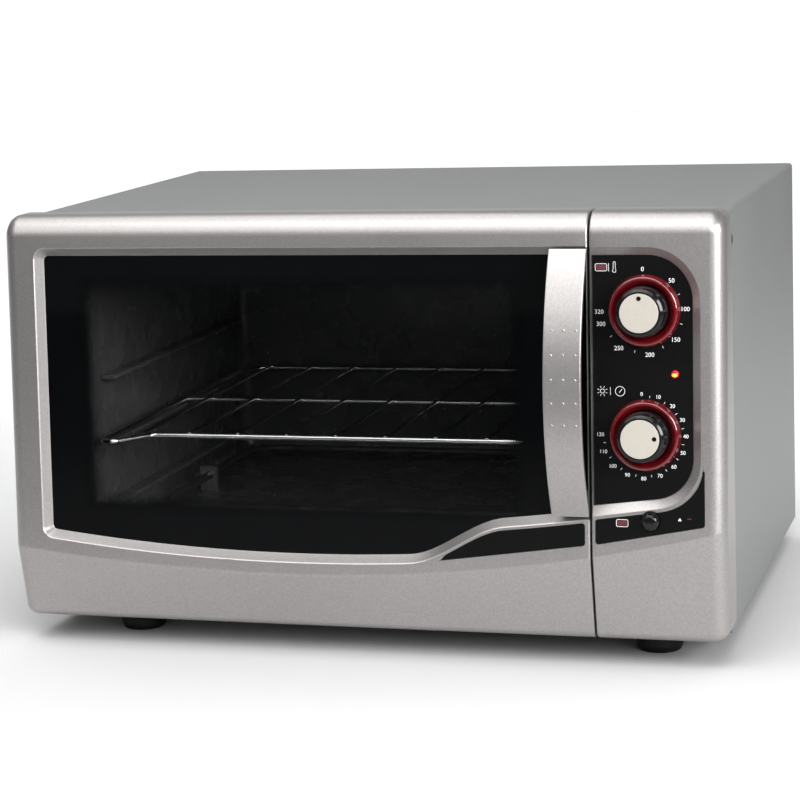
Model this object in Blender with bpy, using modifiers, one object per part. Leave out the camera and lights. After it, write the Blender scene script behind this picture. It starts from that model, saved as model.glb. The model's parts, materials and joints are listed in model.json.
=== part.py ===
"""Countertop electric oven with a side-hung door, two turn knobs and one push button.

Metres, +Z up, +X to the right and -Y towards the cook. The origin is the centre of the
oven's outline on the surface it stands on.
"""

import math

import bmesh
import bpy
from mathutils import Matrix, Vector

# Cabinet
FOOT_HEIGHT = 0.018
CABINET_WIDTH = 0.570
CABINET_DEPTH = 0.388
CABINET_HEIGHT = 0.325
CABINET_FRONT_Y = -0.16147
FOLD_RADIUS = 0.003
SHEET = 0.001
GAP = 0.0003

# Leaning front, measured from the cabinet's bottom edge
FRONT_WIDTH = 0.579
FRONT_TOP = 0.329
FRONT_BOTTOM = 0.003
FRONT_LEAN = math.radians(4.0)
FRONT_PROUD = 0.0345
BOTTOM_PROUD = 0.042
TOP_ROUND = 0.018
BOTTOM_ROUND = 0.008
CREASE_ROUND = 0.010
END_ROUND = 0.012
SPLIT_X = 0.1875
SPLIT_GAP = 0.0013
FACE_WALL = 0.008

# Cavity, inside faces, heights from the cabinet's bottom edge
CAVITY_LEFT = -0.236
CAVITY_RIGHT = 0.168
CAVITY_FLOOR = 0.060
CAVITY_CEILING = 0.292
CAVITY_DEPTH = 0.350
GUIDE_HEIGHTS = (0.087, 0.1395, 0.192)
GUIDE_REACH = 0.0135
BLANKET = 0.008
PARTITION_X = 0.1785

# Heating elements, oven lamp and sensing bulb
ELEMENT_RADIUS = 0.00325
ELEMENT_BEND = 0.030
UPPER_ELEMENT = {"height": 0.273, "near": -0.096, "far": 0.127}
LOWER_ELEMENT = {"height": 0.074, "near": -0.105, "far": 0.135}
LAMP_Y = 0.060
LAMP_HEIGHT = 0.232
LAMP_RADIUS = 0.016
BULB_Y = -0.060
BULB_HEIGHT = 0.252
BULB_RADIUS = 0.0030
CAPILLARY_RADIUS = 0.0014
HOLE_PLAY = 0.0005

# Cooling slots and cord inlet in the rear cover
SLOT_ROWS = 4
SLOT_COLUMNS = 6
SLOT_FIRST_X = -0.20
SLOT_PITCH_X = 0.056
SLOT_LENGTH = 0.040
SLOT_FIRST_HEIGHT = 0.215
SLOT_PITCH_Z = 0.022
SLOT_TALL = 0.005
INLET_X = 0.232
INLET_HEIGHT = 0.045
INLET_HOLE_RADIUS = 0.0083

# Window
WINDOW_LEFT = -0.262
WINDOW_RIGHT = 0.1858
WINDOW_TOP = 0.3034
BEVEL_INSET = 0.005
GLASS_THICKNESS = 0.004

# Door hinge
HINGE_X = -0.2825
HINGE_Y = CABINET_FRONT_Y - 0.020
PIN_RADIUS = 0.0025
PIN_PLAY = 0.00008
ARM_HALF_WIDTH = 0.0036
ARM_THICKNESS = 0.003
HINGE_HEIGHTS = {"lower": 0.0180, "upper": 0.3050}
PIN_LENGTH = 0.0105
BUSH_HEIGHT = 0.011

# Back of the door and its catch
DOOR_BACK_Y = CABINET_FRONT_Y - 0.003
PANEL_SHEET = 0.0010
CATCH_HEIGHT = 0.185
CATCH_GRIP = 0.0023
TONGUE_THICKNESS = 0.0036

# Handle
HANDLE_LEFT = 0.1578
HANDLE_RIGHT = 0.1866
HANDLE_BOTTOM = 0.1010
HANDLE_TOP = 0.3020
HANDLE_BOW = 0.0262
HANDLE_LIFT = 0.0018
HANDLE_THICKNESS = 0.0042

# Controls, on the leaning front
KNOB_X = 0.2287
TEMPERATURE_HEIGHT = 0.2555
TIMER_HEIGHT = 0.1625
TIMER_REST_ANGLE = math.radians(88.0)
KNOB_RADIUS = 0.0194
KNOB_PROUD = 0.0170
RING_RADIUS = 0.0272
CAP_RADIUS = 0.0150
CAP_THICKNESS = 0.0012
SHAFT_RADIUS = 0.003
SHAFT_BORE = SHAFT_RADIUS + 0.0004
SHAFT_HOLE_RADIUS = 0.0075
THERMOSTAT_DEPTH = 0.0430
TIMER_DEPTH = 0.0495
RECESS_LEFT = SPLIT_X + 0.0017
RECESS_INSET = 0.0058
INSERT_DEPTH = 0.005
BUTTON_X = 0.2331
BUTTON_HEIGHT = 0.0987
PILOT_X = 0.2512
BUTTON_RADIUS = 0.0071
PILOT_HEIGHT = 0.2085
PILOT_RADIUS = 0.0032

# Rack
RACK_HEIGHT = 0.1425
RACK_CENTRE_X = -0.034
RACK_HALF_WIDTH = 0.1915
RACK_FRONT_Y = 0.018
RACK_EAR_Y = -0.012
RACK_BACK_Y = 0.340
RACK_WIRE_PITCH = 0.0417
RACK_WIRE_COUNT = 9
FRAME_WIRE = 0.0025
CROSS_WIRE = 0.0016
RAIL_WIRE = 0.0020

# Feet
FOOT_RADIUS = 0.0185
FOOT_XS = (-0.207, 0.2265)
FOOT_YS = (0.014, 0.356)

# Screw heads in the cabinet
SCREW_RADIUS = 0.0042
SCREW_UPPER_HEIGHT = 0.305
SCREW_LOWER_HEIGHT = 0.020
REAR_SCREW_X = 0.272

HALF_CABINET = CABINET_WIDTH / 2
HALF_FRONT = FRONT_WIDTH / 2
CABINET_TOP = FOOT_HEIGHT + CABINET_HEIGHT
CABINET_BACK_Y = CABINET_FRONT_Y + CABINET_DEPTH
FACING_TILT = math.radians(90.0) - FRONT_LEAN
FRAME_FACE_Y = CABINET_FRONT_Y - 0.0015
THROUGH = 0.020

PALETTE = {
    "painted_sheet": ((0.42, 0.43, 0.43), 0.45, 0.6),
    "pearl_silver": ((0.52, 0.50, 0.50), 0.38, 0.7),
    "black_enamel": ((0.02, 0.02, 0.022), 0.3, 0.0),
    "black_gloss": ((0.012, 0.012, 0.014), 0.12, 0.0),
    "screw_black": ((0.03, 0.03, 0.03), 0.4, 0.5),
    "dark_glass": ((0.03, 0.03, 0.035), 0.05, 0.0),
    "ruby_plastic": ((0.35, 0.01, 0.015), 0.1, 0.0),
    "champagne": ((0.72, 0.68, 0.60), 0.35, 0.3),
    "black_rubber": ((0.015, 0.015, 0.015), 0.7, 0.0),
    "zinc_steel": ((0.55, 0.56, 0.57), 0.35, 1.0),
    "chrome_wire": ((0.7, 0.7, 0.7), 0.2, 1.0),
    "galvanised": ((0.5, 0.51, 0.52), 0.5, 0.9),
    "sheath_steel": ((0.12, 0.12, 0.12), 0.45, 0.9),
    "glass_wool": ((0.72, 0.66, 0.42), 0.95, 0.0),
    "phenolic": ((0.03, 0.028, 0.026), 0.5, 0.0),
    "ceramic": ((0.82, 0.80, 0.74), 0.5, 0.0),
    "clear_glass": ((0.8, 0.85, 0.85), 0.05, 0.0),
    "amber_lens": ((0.9, 0.4, 0.05), 0.15, 0.0),
    "brass": ((0.7, 0.55, 0.25), 0.35, 1.0),
}


def clear_scene():
    for old in list(bpy.data.objects):
        bpy.data.objects.remove(old, do_unlink=True)


def new_collection(name):
    collection = bpy.data.collections.new(name)
    bpy.context.scene.collection.children.link(collection)
    return collection


def make_material(name):
    colour, roughness, metallic = PALETTE[name]
    material = bpy.data.materials.new(name)
    material.use_nodes = True
    shader = material.node_tree.nodes["Principled BSDF"]
    shader.inputs["Base Color"].default_value = (*colour, 1.0)
    shader.inputs["Roughness"].default_value = roughness
    shader.inputs["Metallic"].default_value = metallic
    return material


clear_scene()
OVEN = new_collection("countertop_oven")
CUTTERS = new_collection("cutters")
MATERIALS = {name: make_material(name) for name in PALETTE}


# Placing and finishing


def add_object(name, data, finish):
    """Links a mesh or curve as a sub-part with its finish."""
    piece = bpy.data.objects.new(name, data)
    data.materials.append(MATERIALS[finish])
    OVEN.objects.link(piece)
    return piece


def mesh_object(name, shape, finish):
    """Turns a bmesh into a sub-part, faces pointing out."""
    bmesh.ops.recalc_face_normals(shape, faces=shape.faces)
    mesh = bpy.data.meshes.new(name)
    shape.to_mesh(mesh)
    shape.free()
    return add_object(name, mesh, finish)


def make_cutter(piece):
    """Moves a piece to the cutters, where it only shapes others."""
    OVEN.objects.unlink(piece)
    CUTTERS.objects.link(piece)
    piece.hide_render = True
    piece.display_type = "WIRE"
    return piece


def apply_boolean(piece, tool, operation):
    if tool.name not in CUTTERS.objects:
        make_cutter(tool)
    step = piece.modifiers.new(operation.lower(), "BOOLEAN")
    step.operation = operation
    step.object = tool
    step.solver = "EXACT"


def cut(piece, *tools):
    for tool in tools:
        apply_boolean(piece, tool, "DIFFERENCE")


def join(piece, *tools):
    for tool in tools:
        apply_boolean(piece, tool, "UNION")


def round_edges(piece, width, segments=1):
    bevel = piece.modifiers.new("rounded_edges", "BEVEL")
    bevel.width = width
    bevel.segments = segments
    bevel.limit_method = "ANGLE"
    bevel.angle_limit = math.radians(50.0)


def shade_round(piece):
    piece.data.shade_smooth()
    piece.data.set_sharp_from_angle(angle=math.radians(35.0))


# Positions on the leaning front


def plane_y(height):
    """Y of the leaning face at a height above the cabinet's bottom edge."""
    return CABINET_FRONT_Y - FRONT_PROUD - (CABINET_HEIGHT - height) * math.tan(FRONT_LEAN)


def on_front(x, height, depth=0.0):
    """A point on the leaning face, or depth behind it."""
    return Vector((x, plane_y(height) + depth, FOOT_HEIGHT + height))


def above(height):
    """World Z of a height above the cabinet's bottom edge."""
    return FOOT_HEIGHT + height


# Plain solids


def make_box(name, low, high, finish, bevel=0.0):
    low = Vector(low)
    high = Vector(high)
    shape = bmesh.new()
    bmesh.ops.create_cube(shape, size=1.0)
    bmesh.ops.scale(shape, vec=high - low, verts=shape.verts)
    bmesh.ops.translate(shape, vec=(low + high) / 2, verts=shape.verts)
    piece = mesh_object(name, shape, finish)
    if bevel:
        round_edges(piece, bevel)
    return piece


def make_cylinder(name, start, end, radius, finish, segments=20):
    start = Vector(start)
    end = Vector(end)
    shape = bmesh.new()
    bmesh.ops.create_cone(
        shape,
        cap_ends=True,
        segments=segments,
        radius1=radius,
        radius2=radius,
        depth=(end - start).length,
    )
    turn = Vector((0, 0, 1)).rotation_difference(end - start).to_matrix().to_4x4()
    place = Matrix.Translation((start + end) / 2) @ turn
    bmesh.ops.transform(shape, matrix=place, verts=shape.verts)
    piece = mesh_object(name, shape, finish)
    shade_round(piece)
    return piece


def make_turned(name, profile, location, tilt, finish, steps=32, closed=False):
    """Turns a profile of (radius, height) points, listed from its top down the outer side."""
    mesh = bpy.data.meshes.new(name)
    points = [(radius, 0.0, height) for radius, height in profile]
    edges = [(i, i + 1) for i in range(len(points) - 1)]
    if closed:
        edges.append((len(points) - 1, 0))
    mesh.from_pydata(points, edges, [])
    piece = add_object(name, mesh, finish)
    screw = piece.modifiers.new("turning", "SCREW")
    screw.steps = steps
    screw.render_steps = steps
    screw.use_merge_vertices = True
    screw.merge_threshold = 0.00005
    screw.use_smooth_shade = True
    piece.location = location
    piece.rotation_euler = (tilt, 0.0, 0.0)
    return piece


def make_tube(name, points, radius, finish, cyclic=False):
    curve = bpy.data.curves.new(name, "CURVE")
    curve.dimensions = "3D"
    curve.bevel_depth = radius
    curve.bevel_resolution = 2
    curve.use_fill_caps = not cyclic
    spline = curve.splines.new("POLY")
    spline.points.add(len(points) - 1)
    for place, point in zip(spline.points, points):
        place.co = (*point, 1.0)
    spline.use_cyclic_u = cyclic
    return add_object(name, curve, finish)


def solid_from_curve(piece):
    """Replaces a curve by a welded mesh, so that it can be joined to others."""
    name = piece.name
    evaluated = piece.evaluated_get(bpy.context.evaluated_depsgraph_get())
    mesh = bpy.data.meshes.new_from_object(evaluated)
    shape = bmesh.new()
    shape.from_mesh(mesh)
    bmesh.ops.remove_doubles(shape, verts=shape.verts, dist=0.00001)
    shape.to_mesh(mesh)
    shape.free()
    solid = bpy.data.objects.new(name + "_solid", mesh)
    solid.matrix_world = piece.matrix_world
    OVEN.objects.link(solid)
    bpy.data.objects.remove(piece, do_unlink=True)
    solid.name = name
    return solid


def make_loft(name, sections, finish):
    """Skins equal-length closed sections in order and closes both ends."""
    shape = bmesh.new()
    rings = [[shape.verts.new(point) for point in section] for section in sections]
    count = len(rings[0])
    for ring, following in zip(rings, rings[1:]):
        for i in range(count):
            j = (i + 1) % count
            shape.faces.new((ring[i], ring[j], following[j], following[i]))
    shape.faces.new(rings[0])
    shape.faces.new(reversed(rings[-1]))
    return mesh_object(name, shape, finish)


# Outlines


def round_corner(previous, corner, following, radius, steps=5):
    """Points of the arc that rounds one corner of an outline."""
    corner = Vector(corner)
    back = (Vector(previous) - corner).normalized()
    ahead = (Vector(following) - corner).normalized()
    half = back.angle(ahead) / 2
    centre = corner + (back + ahead).normalized() * radius / math.sin(half)
    start = corner + back * radius / math.tan(half) - centre
    end = corner + ahead * radius / math.tan(half) - centre
    sweep = math.atan2(start.x * end.y - start.y * end.x, start.dot(end))
    points = []
    for i in range(steps + 1):
        angle = sweep * i / steps
        turned = Matrix.Rotation(angle, 2) @ start
        points.append(centre + turned)
    return points


def rounded_outline(corners, steps=5):
    """Outline through (u, v, radius) corners; a radius of 0 keeps the corner sharp."""
    points = []
    count = len(corners)
    for i, (u, v, radius) in enumerate(corners):
        if radius:
            before = corners[i - 1][:2]
            after = corners[(i + 1) % count][:2]
            points.extend(round_corner(before, (u, v), after, radius, steps))
        else:
            points.append(Vector((u, v)))
    return points


def inset_outline(points, distance):
    """Moves each point of a clockwise outline inwards by a distance."""
    moved = []
    count = len(points)
    for i, point in enumerate(points):
        back = (point - points[i - 1]).normalized()
        ahead = (points[(i + 1) % count] - point).normalized()
        normal = Vector((back.y + ahead.y, -back.x - ahead.x)).normalized()
        spread = max(0.3, (1 + back.dot(ahead)) / 2) ** 0.5
        moved.append(point + normal * distance / spread)
    return moved


def leaning_plate(name, outline, near, far, finish):
    """A plate that follows the leaning face, between two depths behind it."""
    sections = [[on_front(p.x, p.y, depth) for p in outline] for depth in (near, far)]
    return make_loft(name, sections, finish)


def crease_height(x):
    """Height of the soft crease where the face turns back towards the bottom edge."""
    bend = 0.28 if x < -0.05 else 0.38
    return 0.048 + bend * (x + 0.05) ** 2


def front_section(x, inset, back_y):
    """Cross-section of the moulded front at x, drawn in by an inset near its ends."""
    top = FRONT_TOP - inset
    bottom = FRONT_BOTTOM + inset
    crease = crease_height(x)
    corners = [
        (back_y, top, 0.0),
        (plane_y(top) + inset, top, max(TOP_ROUND - inset, 0.002)),
        (plane_y(crease) + inset, crease, CREASE_ROUND),
        (CABINET_FRONT_Y - BOTTOM_PROUD + inset, bottom, max(BOTTOM_ROUND - inset, 0.002)),
        (back_y, bottom, 0.0),
    ]
    return [Vector((x, p.x, above(p.y))) for p in rounded_outline(corners, 4)]


def end_stations(end_x, inward, radius, steps):
    """(x, inset) pairs that round a moulding off towards its end."""
    stations = []
    for i in range(steps + 1):
        angle = math.radians(90.0) * i / steps
        x = end_x + inward * radius * (1 - math.sin(angle))
        stations.append((x, radius * (1 - math.cos(angle))))
    return stations


def moulded_front(name, left, right, left_round, right_round, back_y, finish):
    """A moulded front between two ends, each rounded off by its own radius."""
    steps_left = 5 if left_round > 0.005 else 2
    steps_right = 5 if right_round > 0.005 else 2
    stations = list(reversed(end_stations(left, 1, left_round, steps_left)))
    inner_left = left + left_round
    inner_right = right - right_round
    middle = max(2, round((inner_right - inner_left) / 0.045))
    for i in range(1, middle):
        stations.append((inner_left + (inner_right - inner_left) * i / middle, 0.0))
    stations.extend(end_stations(right, -1, right_round, steps_right))
    sections = [front_section(x, inset, back_y - inset / 4) for x, inset in stations]
    return make_loft(name, sections, finish)


def pocket_cutter(name, left, right, crease):
    """Hollow behind a moulded front, open at the back, that leaves its face wall."""
    low = FRONT_BOTTOM + 0.0075
    high = FRONT_TOP - 0.0095
    behind = CABINET_FRONT_Y + THROUGH
    outline = [
        (behind, low),
        (CABINET_FRONT_Y - BOTTOM_PROUD + 0.006, low),
        (plane_y(crease) + FACE_WALL, crease),
        (plane_y(high) + FACE_WALL, high),
        (behind, high),
    ]
    sections = [[Vector((x, y, above(h))) for y, h in outline] for x in (left, right)]
    return make_cutter(make_loft(name, sections, "phenolic"))


def bevel_step(outline, inset, square_x):
    """The outline drawn in by an inset, except along its side at square_x."""
    moved = inset_outline(outline, inset)
    for before, after in zip(outline, moved):
        if abs(before.x - square_x) < 0.0001:
            after.x = square_x
    return moved


def bevelled_cutter(name, outline, inset, depth, through, square_x):
    """Cutter for a recess with slanting sides, then straight on to a further depth.

    The side of the outline that lies at square_x goes straight in, with no slant.
    """
    lead = 0.006
    loops = [
        (-lead, -inset * lead / depth),
        (depth, inset),
        (through, inset),
    ]
    sections = []
    for position, shrink in loops:
        shrunk = bevel_step(outline, shrink, square_x)
        sections.append([on_front(p.x, p.y, position) for p in shrunk])
    return make_cutter(make_loft(name, sections, "phenolic"))


def smooth_step(value):
    value = min(max(value, 0.0), 1.0)
    return value * value * (3 - 2 * value)


def window_sill(x):
    """Height of the window's swept lower edge at x."""
    rise = 0.0247 * smooth_step((x - 0.044) / 0.076)
    return 0.0583 + 0.303 * (x + 0.045) ** 2 + rise


def window_outline():
    """The window's outer edge, clockwise as seen from the front."""
    corner = 0.009
    corners = [
        (WINDOW_LEFT, window_sill(WINDOW_LEFT), corner),
        (WINDOW_LEFT, WINDOW_TOP, corner),
        (WINDOW_RIGHT, WINDOW_TOP, 0.0),
    ]
    count = 16
    for i in range(count):
        x = WINDOW_RIGHT + (WINDOW_LEFT + 0.020 - WINDOW_RIGHT) * i / (count - 1)
        corners.append((x, window_sill(x), 0.0))
    return rounded_outline(corners, 3)


# Cabinet


def build_cabinet_wrap():
    """Top and both sides, one sheet folded over at the two top edges."""
    width = HALF_CABINET
    corners = [
        (-width, FOOT_HEIGHT, 0.0),
        (-width, CABINET_TOP, FOLD_RADIUS),
        (width, CABINET_TOP, FOLD_RADIUS),
        (width, FOOT_HEIGHT, 0.0),
    ]
    outer = rounded_outline(corners, 3)
    shape = bmesh.new()
    front = [shape.verts.new((p.x, CABINET_FRONT_Y + GAP, p.y)) for p in outer]
    edges = [shape.edges.new(pair) for pair in zip(front, front[1:])]
    pulled = bmesh.ops.extrude_edge_only(shape, edges=edges)["geom"]
    moved = [item for item in pulled if isinstance(item, bmesh.types.BMVert)]
    bmesh.ops.translate(shape, vec=(0, CABINET_DEPTH - GAP, 0), verts=moved)
    middle = Vector((0, 0, CABINET_TOP / 2))
    bmesh.ops.recalc_face_normals(shape, faces=shape.faces)
    top_face = max(shape.faces, key=lambda face: face.calc_center_median().z)
    if top_face.normal.dot(top_face.calc_center_median() - middle) < 0:
        bmesh.ops.reverse_faces(shape, faces=shape.faces)
    mesh = bpy.data.meshes.new("cabinet_wrap")
    shape.to_mesh(mesh)
    shape.free()
    wrap = add_object("cabinet_wrap", mesh, "painted_sheet")
    thick = wrap.modifiers.new("sheet", "SOLIDIFY")
    thick.thickness = SHEET
    thick.offset = -1.0
    return wrap


def open_tray(name, low, high, open_side, finish):
    """A thin box without one of its sides, its walls inside low and high."""
    tray = make_box(name, low, high, finish)
    inner_low = Vector(low) + Vector((SHEET, SHEET, SHEET))
    inner_high = Vector(high) - Vector((SHEET, SHEET, SHEET))
    if open_side == "top":
        inner_high.z += 0.02
    else:
        inner_low.y -= 0.02
    cut(tray, make_box(name + "_hollow", inner_low, inner_high, finish))
    return tray


def build_base_pan():
    low = (-HALF_CABINET + SHEET + GAP, CABINET_FRONT_Y + GAP, FOOT_HEIGHT)
    high = (HALF_CABINET - SHEET - GAP, CABINET_BACK_Y - 0.003, FOOT_HEIGHT + 0.012)
    open_tray("base_pan", low, high, "top", "galvanised")


def build_rear_cover():
    """Back panel with rows of cooling slots and a hole for the cord inlet."""
    side = HALF_CABINET - SHEET - 0.0010
    low = (-side, CABINET_BACK_Y - 0.0022, FOOT_HEIGHT + 0.0005)
    high = (side, CABINET_BACK_Y - 0.0010, CABINET_TOP - SHEET - 0.0010)
    cover = make_box("rear_cover", low, high, "galvanised")
    for row in range(SLOT_ROWS):
        for column in range(SLOT_COLUMNS):
            x = SLOT_FIRST_X + SLOT_PITCH_X * column
            z = above(SLOT_FIRST_HEIGHT) + SLOT_PITCH_Z * row
            slot = make_box(
                f"rear_slot_{row}_{column}",
                (x, CABINET_BACK_Y - THROUGH, z),
                (x + SLOT_LENGTH, CABINET_BACK_Y + THROUGH, z + SLOT_TALL),
                "galvanised",
            )
            cut(cover, slot)
    cut(cover, inlet_hole_cutter())
    return cover


def inlet_place():
    return Vector((INLET_X, CABINET_BACK_Y, above(INLET_HEIGHT)))


def inlet_hole_cutter():
    along = Vector((0, THROUGH, 0))
    start = inlet_place() - along
    end = inlet_place() + along
    return make_cylinder("inlet_hole", start, end, INLET_HOLE_RADIUS, "phenolic", 24)


def build_front_frame():
    """Steel front frame around the cavity's mouth, with holes for the controls."""
    half = HALF_CABINET - 0.0005
    low = (-half, CABINET_FRONT_Y - 0.0012, FOOT_HEIGHT + 0.0008)
    high = (half, CABINET_FRONT_Y, CABINET_TOP - 0.0008)
    frame = make_box("front_frame", low, high, "black_enamel")
    mouth = make_box(
        "cavity_mouth",
        (CAVITY_LEFT, CABINET_FRONT_Y - THROUGH, above(CAVITY_FLOOR)),
        (CAVITY_RIGHT, CABINET_FRONT_Y + THROUGH, above(CAVITY_CEILING)),
        "black_enamel",
    )
    cut(frame, mouth)
    for height in (TEMPERATURE_HEIGHT, TIMER_HEIGHT):
        cut(frame, shaft_hole_cutter(height, SHAFT_HOLE_RADIUS, "frame"))


def shaft_hole_cutter(height, radius, label):
    """Hole along a control's axis, right through the front."""
    outward = facing_axis()
    start = on_front(KNOB_X, height) - outward * 0.080
    end = on_front(KNOB_X, height) + outward * 0.010
    return make_cylinder(f"shaft_hole_{label}_{height:.4f}", start, end, radius, "phenolic", 20)


def facing_axis():
    """Unit vector square to the leaning face, pointing at the cook."""
    return Vector((0, -math.cos(FRONT_LEAN), math.sin(FRONT_LEAN)))


def side_hole_cutter(name, y, height, radius):
    """Hole along X through the liner's right wall, its blanket and the partition."""
    start = (CAVITY_RIGHT - 0.005, y, above(height))
    end = (PARTITION_X + 0.010, y, above(height))
    return make_cutter(make_cylinder(name, start, end, radius, "phenolic", 20))


def build_cavity():
    """Enamelled liner with three pairs of shelf guides, its blanket and the partition."""
    low = (CAVITY_LEFT - SHEET, CABINET_FRONT_Y + GAP, above(CAVITY_FLOOR) - SHEET)
    back = CABINET_FRONT_Y + CAVITY_DEPTH + SHEET
    high = (CAVITY_RIGHT + SHEET, back, above(CAVITY_CEILING) + SHEET)
    liner = open_tray("cavity_liner", low, high, "front", "black_enamel")
    for number, height in enumerate(GUIDE_HEIGHTS):
        for side, wall, reach in (
            ("left", CAVITY_LEFT, GUIDE_REACH),
            ("right", CAVITY_RIGHT, -GUIDE_REACH),
        ):
            ends = sorted((wall - math.copysign(SHEET / 2, reach), wall + reach))
            rib = make_box(
                f"guide_{side}_{number}",
                (ends[0], CABINET_FRONT_Y + 0.020, above(height) - 0.0045),
                (ends[1], CABINET_FRONT_Y + 0.325, above(height)),
                "black_enamel",
            )
            join(liner, rib)
    blanket = build_blanket(back)
    partition = make_box(
        "control_partition",
        (PARTITION_X, CABINET_FRONT_Y + 0.0018, FOOT_HEIGHT + SHEET + GAP),
        (PARTITION_X + SHEET, CABINET_BACK_Y - 0.0045, CABINET_TOP - SHEET - GAP),
        "galvanised",
    )
    holes = [
        side_hole_cutter("lamp_hole", LAMP_Y, LAMP_HEIGHT, LAMP_RADIUS + HOLE_PLAY),
        side_hole_cutter("bulb_hole", BULB_Y, BULB_HEIGHT, CAPILLARY_RADIUS + HOLE_PLAY),
    ]
    for name, element in (("upper", UPPER_ELEMENT), ("lower", LOWER_ELEMENT)):
        for end in ("near", "far"):
            hole_name = f"{name}_element_hole_{end}"
            radius = ELEMENT_RADIUS + HOLE_PLAY
            holes.append(side_hole_cutter(hole_name, element[end], element["height"], radius))
    for hole in holes:
        cut(liner, hole)
        cut(blanket, hole)
        cut(partition, hole)


def build_blanket(back):
    """Insulation over the liner's top and sides."""
    inner = SHEET + GAP
    outer = inner + BLANKET
    left = CAVITY_LEFT
    right = CAVITY_RIGHT
    top = above(CAVITY_CEILING)
    low = above(CAVITY_FLOOR) - 0.005
    corners = [
        (left - outer, low, 0.0),
        (left - outer, top + outer, BLANKET),
        (right + outer, top + outer, BLANKET),
        (right + outer, low, 0.0),
        (right + inner, low, 0.0),
        (right + inner, top + inner, 0.0),
        (left - inner, top + inner, 0.0),
        (left - inner, low, 0.0),
    ]
    outline = rounded_outline(corners, 3)
    ends = (CABINET_FRONT_Y + 0.004, back - 0.004)
    sections = [[Vector((p.x, y, p.y)) for p in outline] for y in ends]
    return make_loft("insulation_blanket", sections, "glass_wool")


# Heating, lamp and wiring


def element_path(element, left_x):
    """Flat hairpin whose legs leave through the liner's right wall."""
    end_x = CAVITY_RIGHT + 0.0095
    z = above(element["height"])
    corners = [
        (end_x, element["near"], 0.0),
        (left_x, element["near"], ELEMENT_BEND),
        (left_x, element["far"], ELEMENT_BEND),
        (end_x, element["far"], 0.0),
    ]
    return [(p.x, p.y, z) for p in rounded_outline(corners, 6)]


def build_elements():
    """Upper and lower heating elements, each held to the liner by a clip."""
    left_x = CAVITY_LEFT + 0.030
    for name, element, wall in (
        ("upper", UPPER_ELEMENT, CAVITY_CEILING),
        ("lower", LOWER_ELEMENT, CAVITY_FLOOR),
    ):
        path = element_path(element, left_x)
        make_tube(f"{name}_element", path, ELEMENT_RADIUS, "sheath_steel")
        build_element_clip(name, element, wall, left_x)


def build_element_clip(name, element, wall, x):
    """Bored plate that hangs an element's far bend from the nearest wall."""
    half_width = 0.008
    half_sheet = 0.0015
    z = above(element["height"])
    reach = math.copysign(half_width, z - above(wall))
    wall_z = above(wall) + math.copysign(GAP, reach)
    ends = sorted((wall_z, z + reach))
    y = (element["near"] + element["far"]) / 2
    clip = make_box(
        f"{name}_element_clip",
        (x - half_width, y - half_sheet, ends[0]),
        (x + half_width, y + half_sheet, ends[1]),
        "zinc_steel",
    )
    hole = make_cylinder(
        f"{name}_clip_hole",
        (x, y - THROUGH, z),
        (x, y + THROUGH, z),
        ELEMENT_RADIUS + HOLE_PLAY,
        "zinc_steel",
        16,
    )
    cut(clip, hole)


def build_lamp():
    """Oven lamp in the right wall: socket outside, bulb, and a glass dome inside."""
    place = (CAVITY_RIGHT, LAMP_Y, above(LAMP_HEIGHT))
    into_cavity = math.radians(-90.0)
    dome = [
        (0.0, 0.0150),
        (0.0080, 0.0138),
        (0.0128, 0.0095),
        (0.0145, 0.0030),
        (0.0145, -0.0060),
        (0.0128, -0.0060),
        (0.0128, 0.0025),
        (0.0110, 0.0083),
        (0.0070, 0.0120),
        (0.0, 0.0131),
    ]
    bulb_profile = [
        (0.0, 0.0095),
        (0.0050, 0.0080),
        (0.0072, 0.0020),
        (0.0060, -0.0080),
        (0.0, -0.0080),
    ]
    socket_profile = [
        (0.0, -0.0084),
        (0.0145, -0.0084),
        (0.0156, -0.0095),
        (0.0156, -0.0330),
        (0.0, -0.0330),
    ]
    for name, profile, finish in (
        ("lamp_glass", dome, "clear_glass"),
        ("lamp_bulb", bulb_profile, "clear_glass"),
        ("lamp_socket", socket_profile, "ceramic"),
    ):
        piece = make_turned(name, profile, place, 0.0, finish, 24)
        piece.rotation_euler = (0.0, into_cavity, 0.0)


def build_thermostat_bulb():
    """Sensing bulb in the cavity and the capillary that joins it to the thermostat."""
    z = above(BULB_HEIGHT)
    turn_x = CAVITY_RIGHT - 0.016
    corners = [
        (KNOB_X - 0.006, BULB_Y - 0.030, 0.0),
        (KNOB_X - 0.006, BULB_Y, 0.012),
        (turn_x, BULB_Y, 0.010),
        (turn_x, BULB_Y + 0.018, 0.0),
    ]
    path = [(p.x, p.y, z) for p in rounded_outline(corners, 5)]
    make_tube("thermostat_capillary", path, CAPILLARY_RADIUS, "zinc_steel")
    start = (turn_x, BULB_Y + 0.0183, z)
    end = (turn_x, BULB_Y + 0.0800, z)
    make_cylinder("thermostat_bulb", start, end, BULB_RADIUS, "zinc_steel", 16)


def build_terminal_block():
    """Three-way block on the base pan, with a way for each conductor."""
    pitch = 0.018
    half_way = 0.004
    middle_y = CABINET_BACK_Y - 0.059
    half_depth = 0.011
    block = make_box(
        "terminal_block",
        (INLET_X - 1.5 * pitch, middle_y - half_depth, FOOT_HEIGHT + SHEET + GAP),
        (INLET_X + 1.5 * pitch, middle_y + half_depth, FOOT_HEIGHT + 0.019),
        "ceramic",
    )
    for i in (-1, 0, 1):
        x = INLET_X + pitch * i
        way = make_box(
            f"terminal_way_{i + 1}",
            (x - half_way, middle_y - THROUGH, FOOT_HEIGHT + 0.008),
            (x + half_way, middle_y + THROUGH, FOOT_HEIGHT + 0.025),
            "ceramic",
        )
        cut(block, way)


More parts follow.
